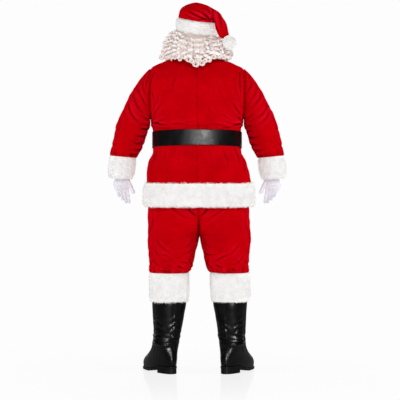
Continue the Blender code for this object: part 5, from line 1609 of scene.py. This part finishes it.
# Waved locks down the middle of the back, pressed in under the band and puffed out below it.
for turn in np.arange(0, 2 * math.pi, 0.045):
    here, _ = wig_frame(1.640, turn)
    if here[1] > 0 or abs(here[0] - WIG_MIDDLE) > 0.084:
        continue
    line, outward = hanging(1.700, draw.uniform(1.556, 1.578), turn, draw.uniform(-0.06, 0.06))
    share = np.linspace(0, 1, 30)
    centre, out = along_line(line, share), along_line(outward, share)
    aside = unit(np.cross(np.gradient(centre, axis=0), out))
    below = ease((1.652 - centre[:, 2]) / 0.020)
    phase = centre[:, 2] * 2 * math.pi / 0.025 + 5 * np.sin(3 * turn) + draw.uniform(-1.2, 1.2)
    lift = -0.011 + 0.010 * below + 0.0035 * below * np.cos(phase) + draw.uniform(-0.002, 0.002)
    path = centre + aside * (0.0045 * below * np.sin(phase))[:, None] + out * lift[:, None]
    # Painted shade and light: the locks are darker up under the band and lighter on the crests of their
    # waves.
    shade = draw.uniform(0.18, 0.44) + 0.24 * ease((1.650 - centre[:, 2]) / 0.025)
    keep_lock(path, aside * 0.0050, out * 0.0022, shade + 0.20 * below * np.cos(phase))

# Open rings along the lower edge, facing out, each with the lock's inside behind its rim. Each ring is
# painted darker towards its middle, and the lock's inside a darker beige, as painted shade.
for x, height, radius in RING_CURLS:
    x, height, radius = x / 1000, height / 1000, radius / 1000
    row = smooth_through(WIG_ROWS[:, 0], WIG_ROWS, np.array([max(height, WIG_ROWS[0, 0])]))[0]
    share = np.clip((x - HAT_CENTRE.x) / (row[1] + 0.004), -0.97, 0.97)
    y = -(row[2] + 0.004) * math.sqrt(1 - share**2)
    axis = unit(np.array([0.6 * share, -1.0, 0.12]))
    first = unit(np.cross(axis, (0, 0, 1)))
    second = np.cross(axis, first)
    t = np.linspace(0, 1, 40)
    angle = math.pi * (0.4 + 3.8 * t) + 0.3 * height
    ring = first * np.cos(angle)[:, None] + second * np.sin(angle)[:, None]
    path = (x, y, height) + ring * (radius * (1.0 - 0.68 * t))[:, None] - axis * (0.004 * t)[:, None]
    keep_lock(path, ring * 0.0038, axis * 0.0026, 0.66 - 0.34 * t + 0.20 * np.cos(angle * 1.5))
    keep_lock(path - ring * 0.0030 - axis * 0.0050, axis * 0.0050, -ring * 0.0012, 0.45)

lock_points = np.concatenate([part.reshape(-1, 3) for part in locks]) - (0, 0, SHOULDER_HEIGHT)
curls = mesh_piece("wig_hair_curls", lock_points, lock_faces, hair)
strands = np.concatenate([part.reshape(-1, 3) for part in lock_strands])
lay_strands(curls, strands, np.concatenate([part.ravel() for part in lock_shades]))
stands_for(curls, "wig_hair")

# ---------------------------------------------------------------- the hat
# A pointed cap of the same plush on a band of the same fur. Its long tip has been folded over to the
# wearer's right, in deep creases that start at the fold, and hangs with a fur pompom at its end.
HAT_FOLD = math.radians(-42)
# toward the fold and height of one edge, the same of the other edge, half width across
HAT_ROWS = [
    (0.108, 0.050, -0.103, 0.062, 0.102),
    (0.113, 0.058, -0.087, 0.088, 0.090),
    (0.116, 0.059, -0.051, 0.106, 0.068),
    (0.118, 0.058, -0.011, 0.1155, 0.052),
    (0.120, 0.056, 0.033, 0.110, 0.043),
    (0.122, 0.052, 0.073, 0.099, 0.039),
    (0.125, 0.046, 0.112, 0.085, 0.038),
    (0.127, 0.032, 0.146, 0.062, 0.036),
    (0.130, 0.010, 0.178, 0.030, 0.034),
    (0.139, -0.012, 0.197, 0.006, 0.030),
    (0.158, -0.032, 0.209, -0.010, 0.022),
    (0.178, -0.037, 0.203, -0.020, 0.012),
]
HAT_CREASES = [
    (53, 1726, -18, 1752, -62, 1787, 9, 10.8, 4.1, 5.4),
    (58, 1729, 14, 1762, -25, 1787, 8, 10.8, 5.4, 4.1),
    (58, 1733, 31, 1755, 9, 1774, 6, 8.1, 2.7, 2.7),
    (21, 1728, -38, 1740, -72, 1772, 9, 5.4, 2.7, 4.1),
    (69, 1784, 72, 1731, 106, 1648, 9, 8.1, 5.4, 5.4),
    (94, 1770, 104, 1721, 121, 1657, 8, 5.4, 4.1, 4.1),
    (62, 1731, 50, 1770, 26, 1799, 7, 8.1, 4.1, 4.1),
    (77, 1711, 89, 1682, 111, 1643, 5, 5.4, 2.7, 2.7),
]
BAND_INSIDE = (0.0925, 0.1095)
# half width, half depth, height in the hat's axes
BAND_OUTLINE = [
    (0.1000, 0.1170, -0.030),
    (0.1065, 0.1235, -0.021),
    (0.1070, 0.1240, 0.018),
    (0.1000, 0.1170, 0.029),
    (0.0945, 0.1115, 0.028),
    (0.0945, 0.1115, -0.028),
]
POMPOM_CENTRE = (0.1494, -0.1445, 1.615)
BALL_RADIUS = 0.0315  # of the pompom to the middle of its pile

turns = full_turn(120)
toward = np.array([math.cos(HAT_FOLD), math.sin(HAT_FOLD), 0])
across = np.array([-toward[1], toward[0], 0])
start = turns + HAT_FOLD
rim_x, rim_y = BAND_INSIDE[0] + 0.007, BAND_INSIDE[1] + 0.007
rings = [level_ring(rim_x * np.cos(start), rim_y * np.sin(start), 0.0309)]
for fold_r, fold_z, far_r, far_z, half_across in HAT_ROWS:
    fold_end = toward * fold_r + (0, 0, fold_z)
    far_end = toward * far_r + (0, 0, far_z)
    centre, reach = (fold_end + far_end) / 2, 0.47 * (fold_end - far_end)
    aside = across * (half_across - PLUSH_WALL)
    rings.append(centre + np.cos(turns)[:, None] * reach + np.sin(turns)[:, None] * aside)
flat = in_hat_axes(through_rings(rings, 0.0048).reshape(-1, 3)).reshape(-1, len(turns), 3)
creased, rise = crumple(flat, True, HAT_CREASES, [], seed=51, ripple=0.0015)
ends = ease(np.minimum(np.arange(len(flat)) / 3, np.arange(len(flat))[::-1] / 3))[:, None, None]
formed = flat + (creased - flat) * ends - (0, 0, SHOULDER_HEIGHT)
crown = plush_piece("hat_crown", formed, True, row_middles(formed), rise)

rings = []
for half_width, half_depth, height in BAND_OUTLINE:
    ring = level_ring(half_width * np.cos(turns), half_depth * np.sin(turns), height)
    rings.append(in_hat_axes(ring) - (0, 0, SHOULDER_HEIGHT))
fur_band("hat_fur_band", rings, 13000, 0.009, 53, nap=1.0)

ball = []
for angle in np.linspace(0.02, math.pi - 0.02, 30):
    size = BALL_RADIUS * math.sin(angle)
    level = -BALL_RADIUS * math.cos(angle)
    ring = level_ring(size * np.cos(turns[::2]), size * np.sin(turns[::2]), level)
    ball.append(ring + POMPOM_CENTRE - (0, 0, SHOULDER_HEIGHT))
pompom = fur_piece("hat_pompom_pile", np.array(ball), 0.9, 6500, 0.008, 57, closed_ends=True)
# Its pile is combed out, and it glows a little more than the other fur, as painted light.
pompom.data.materials[0] = white_fur("white_acrylic_pompom_fur", 0.26)
stands_for(pompom, "hat_pompom")
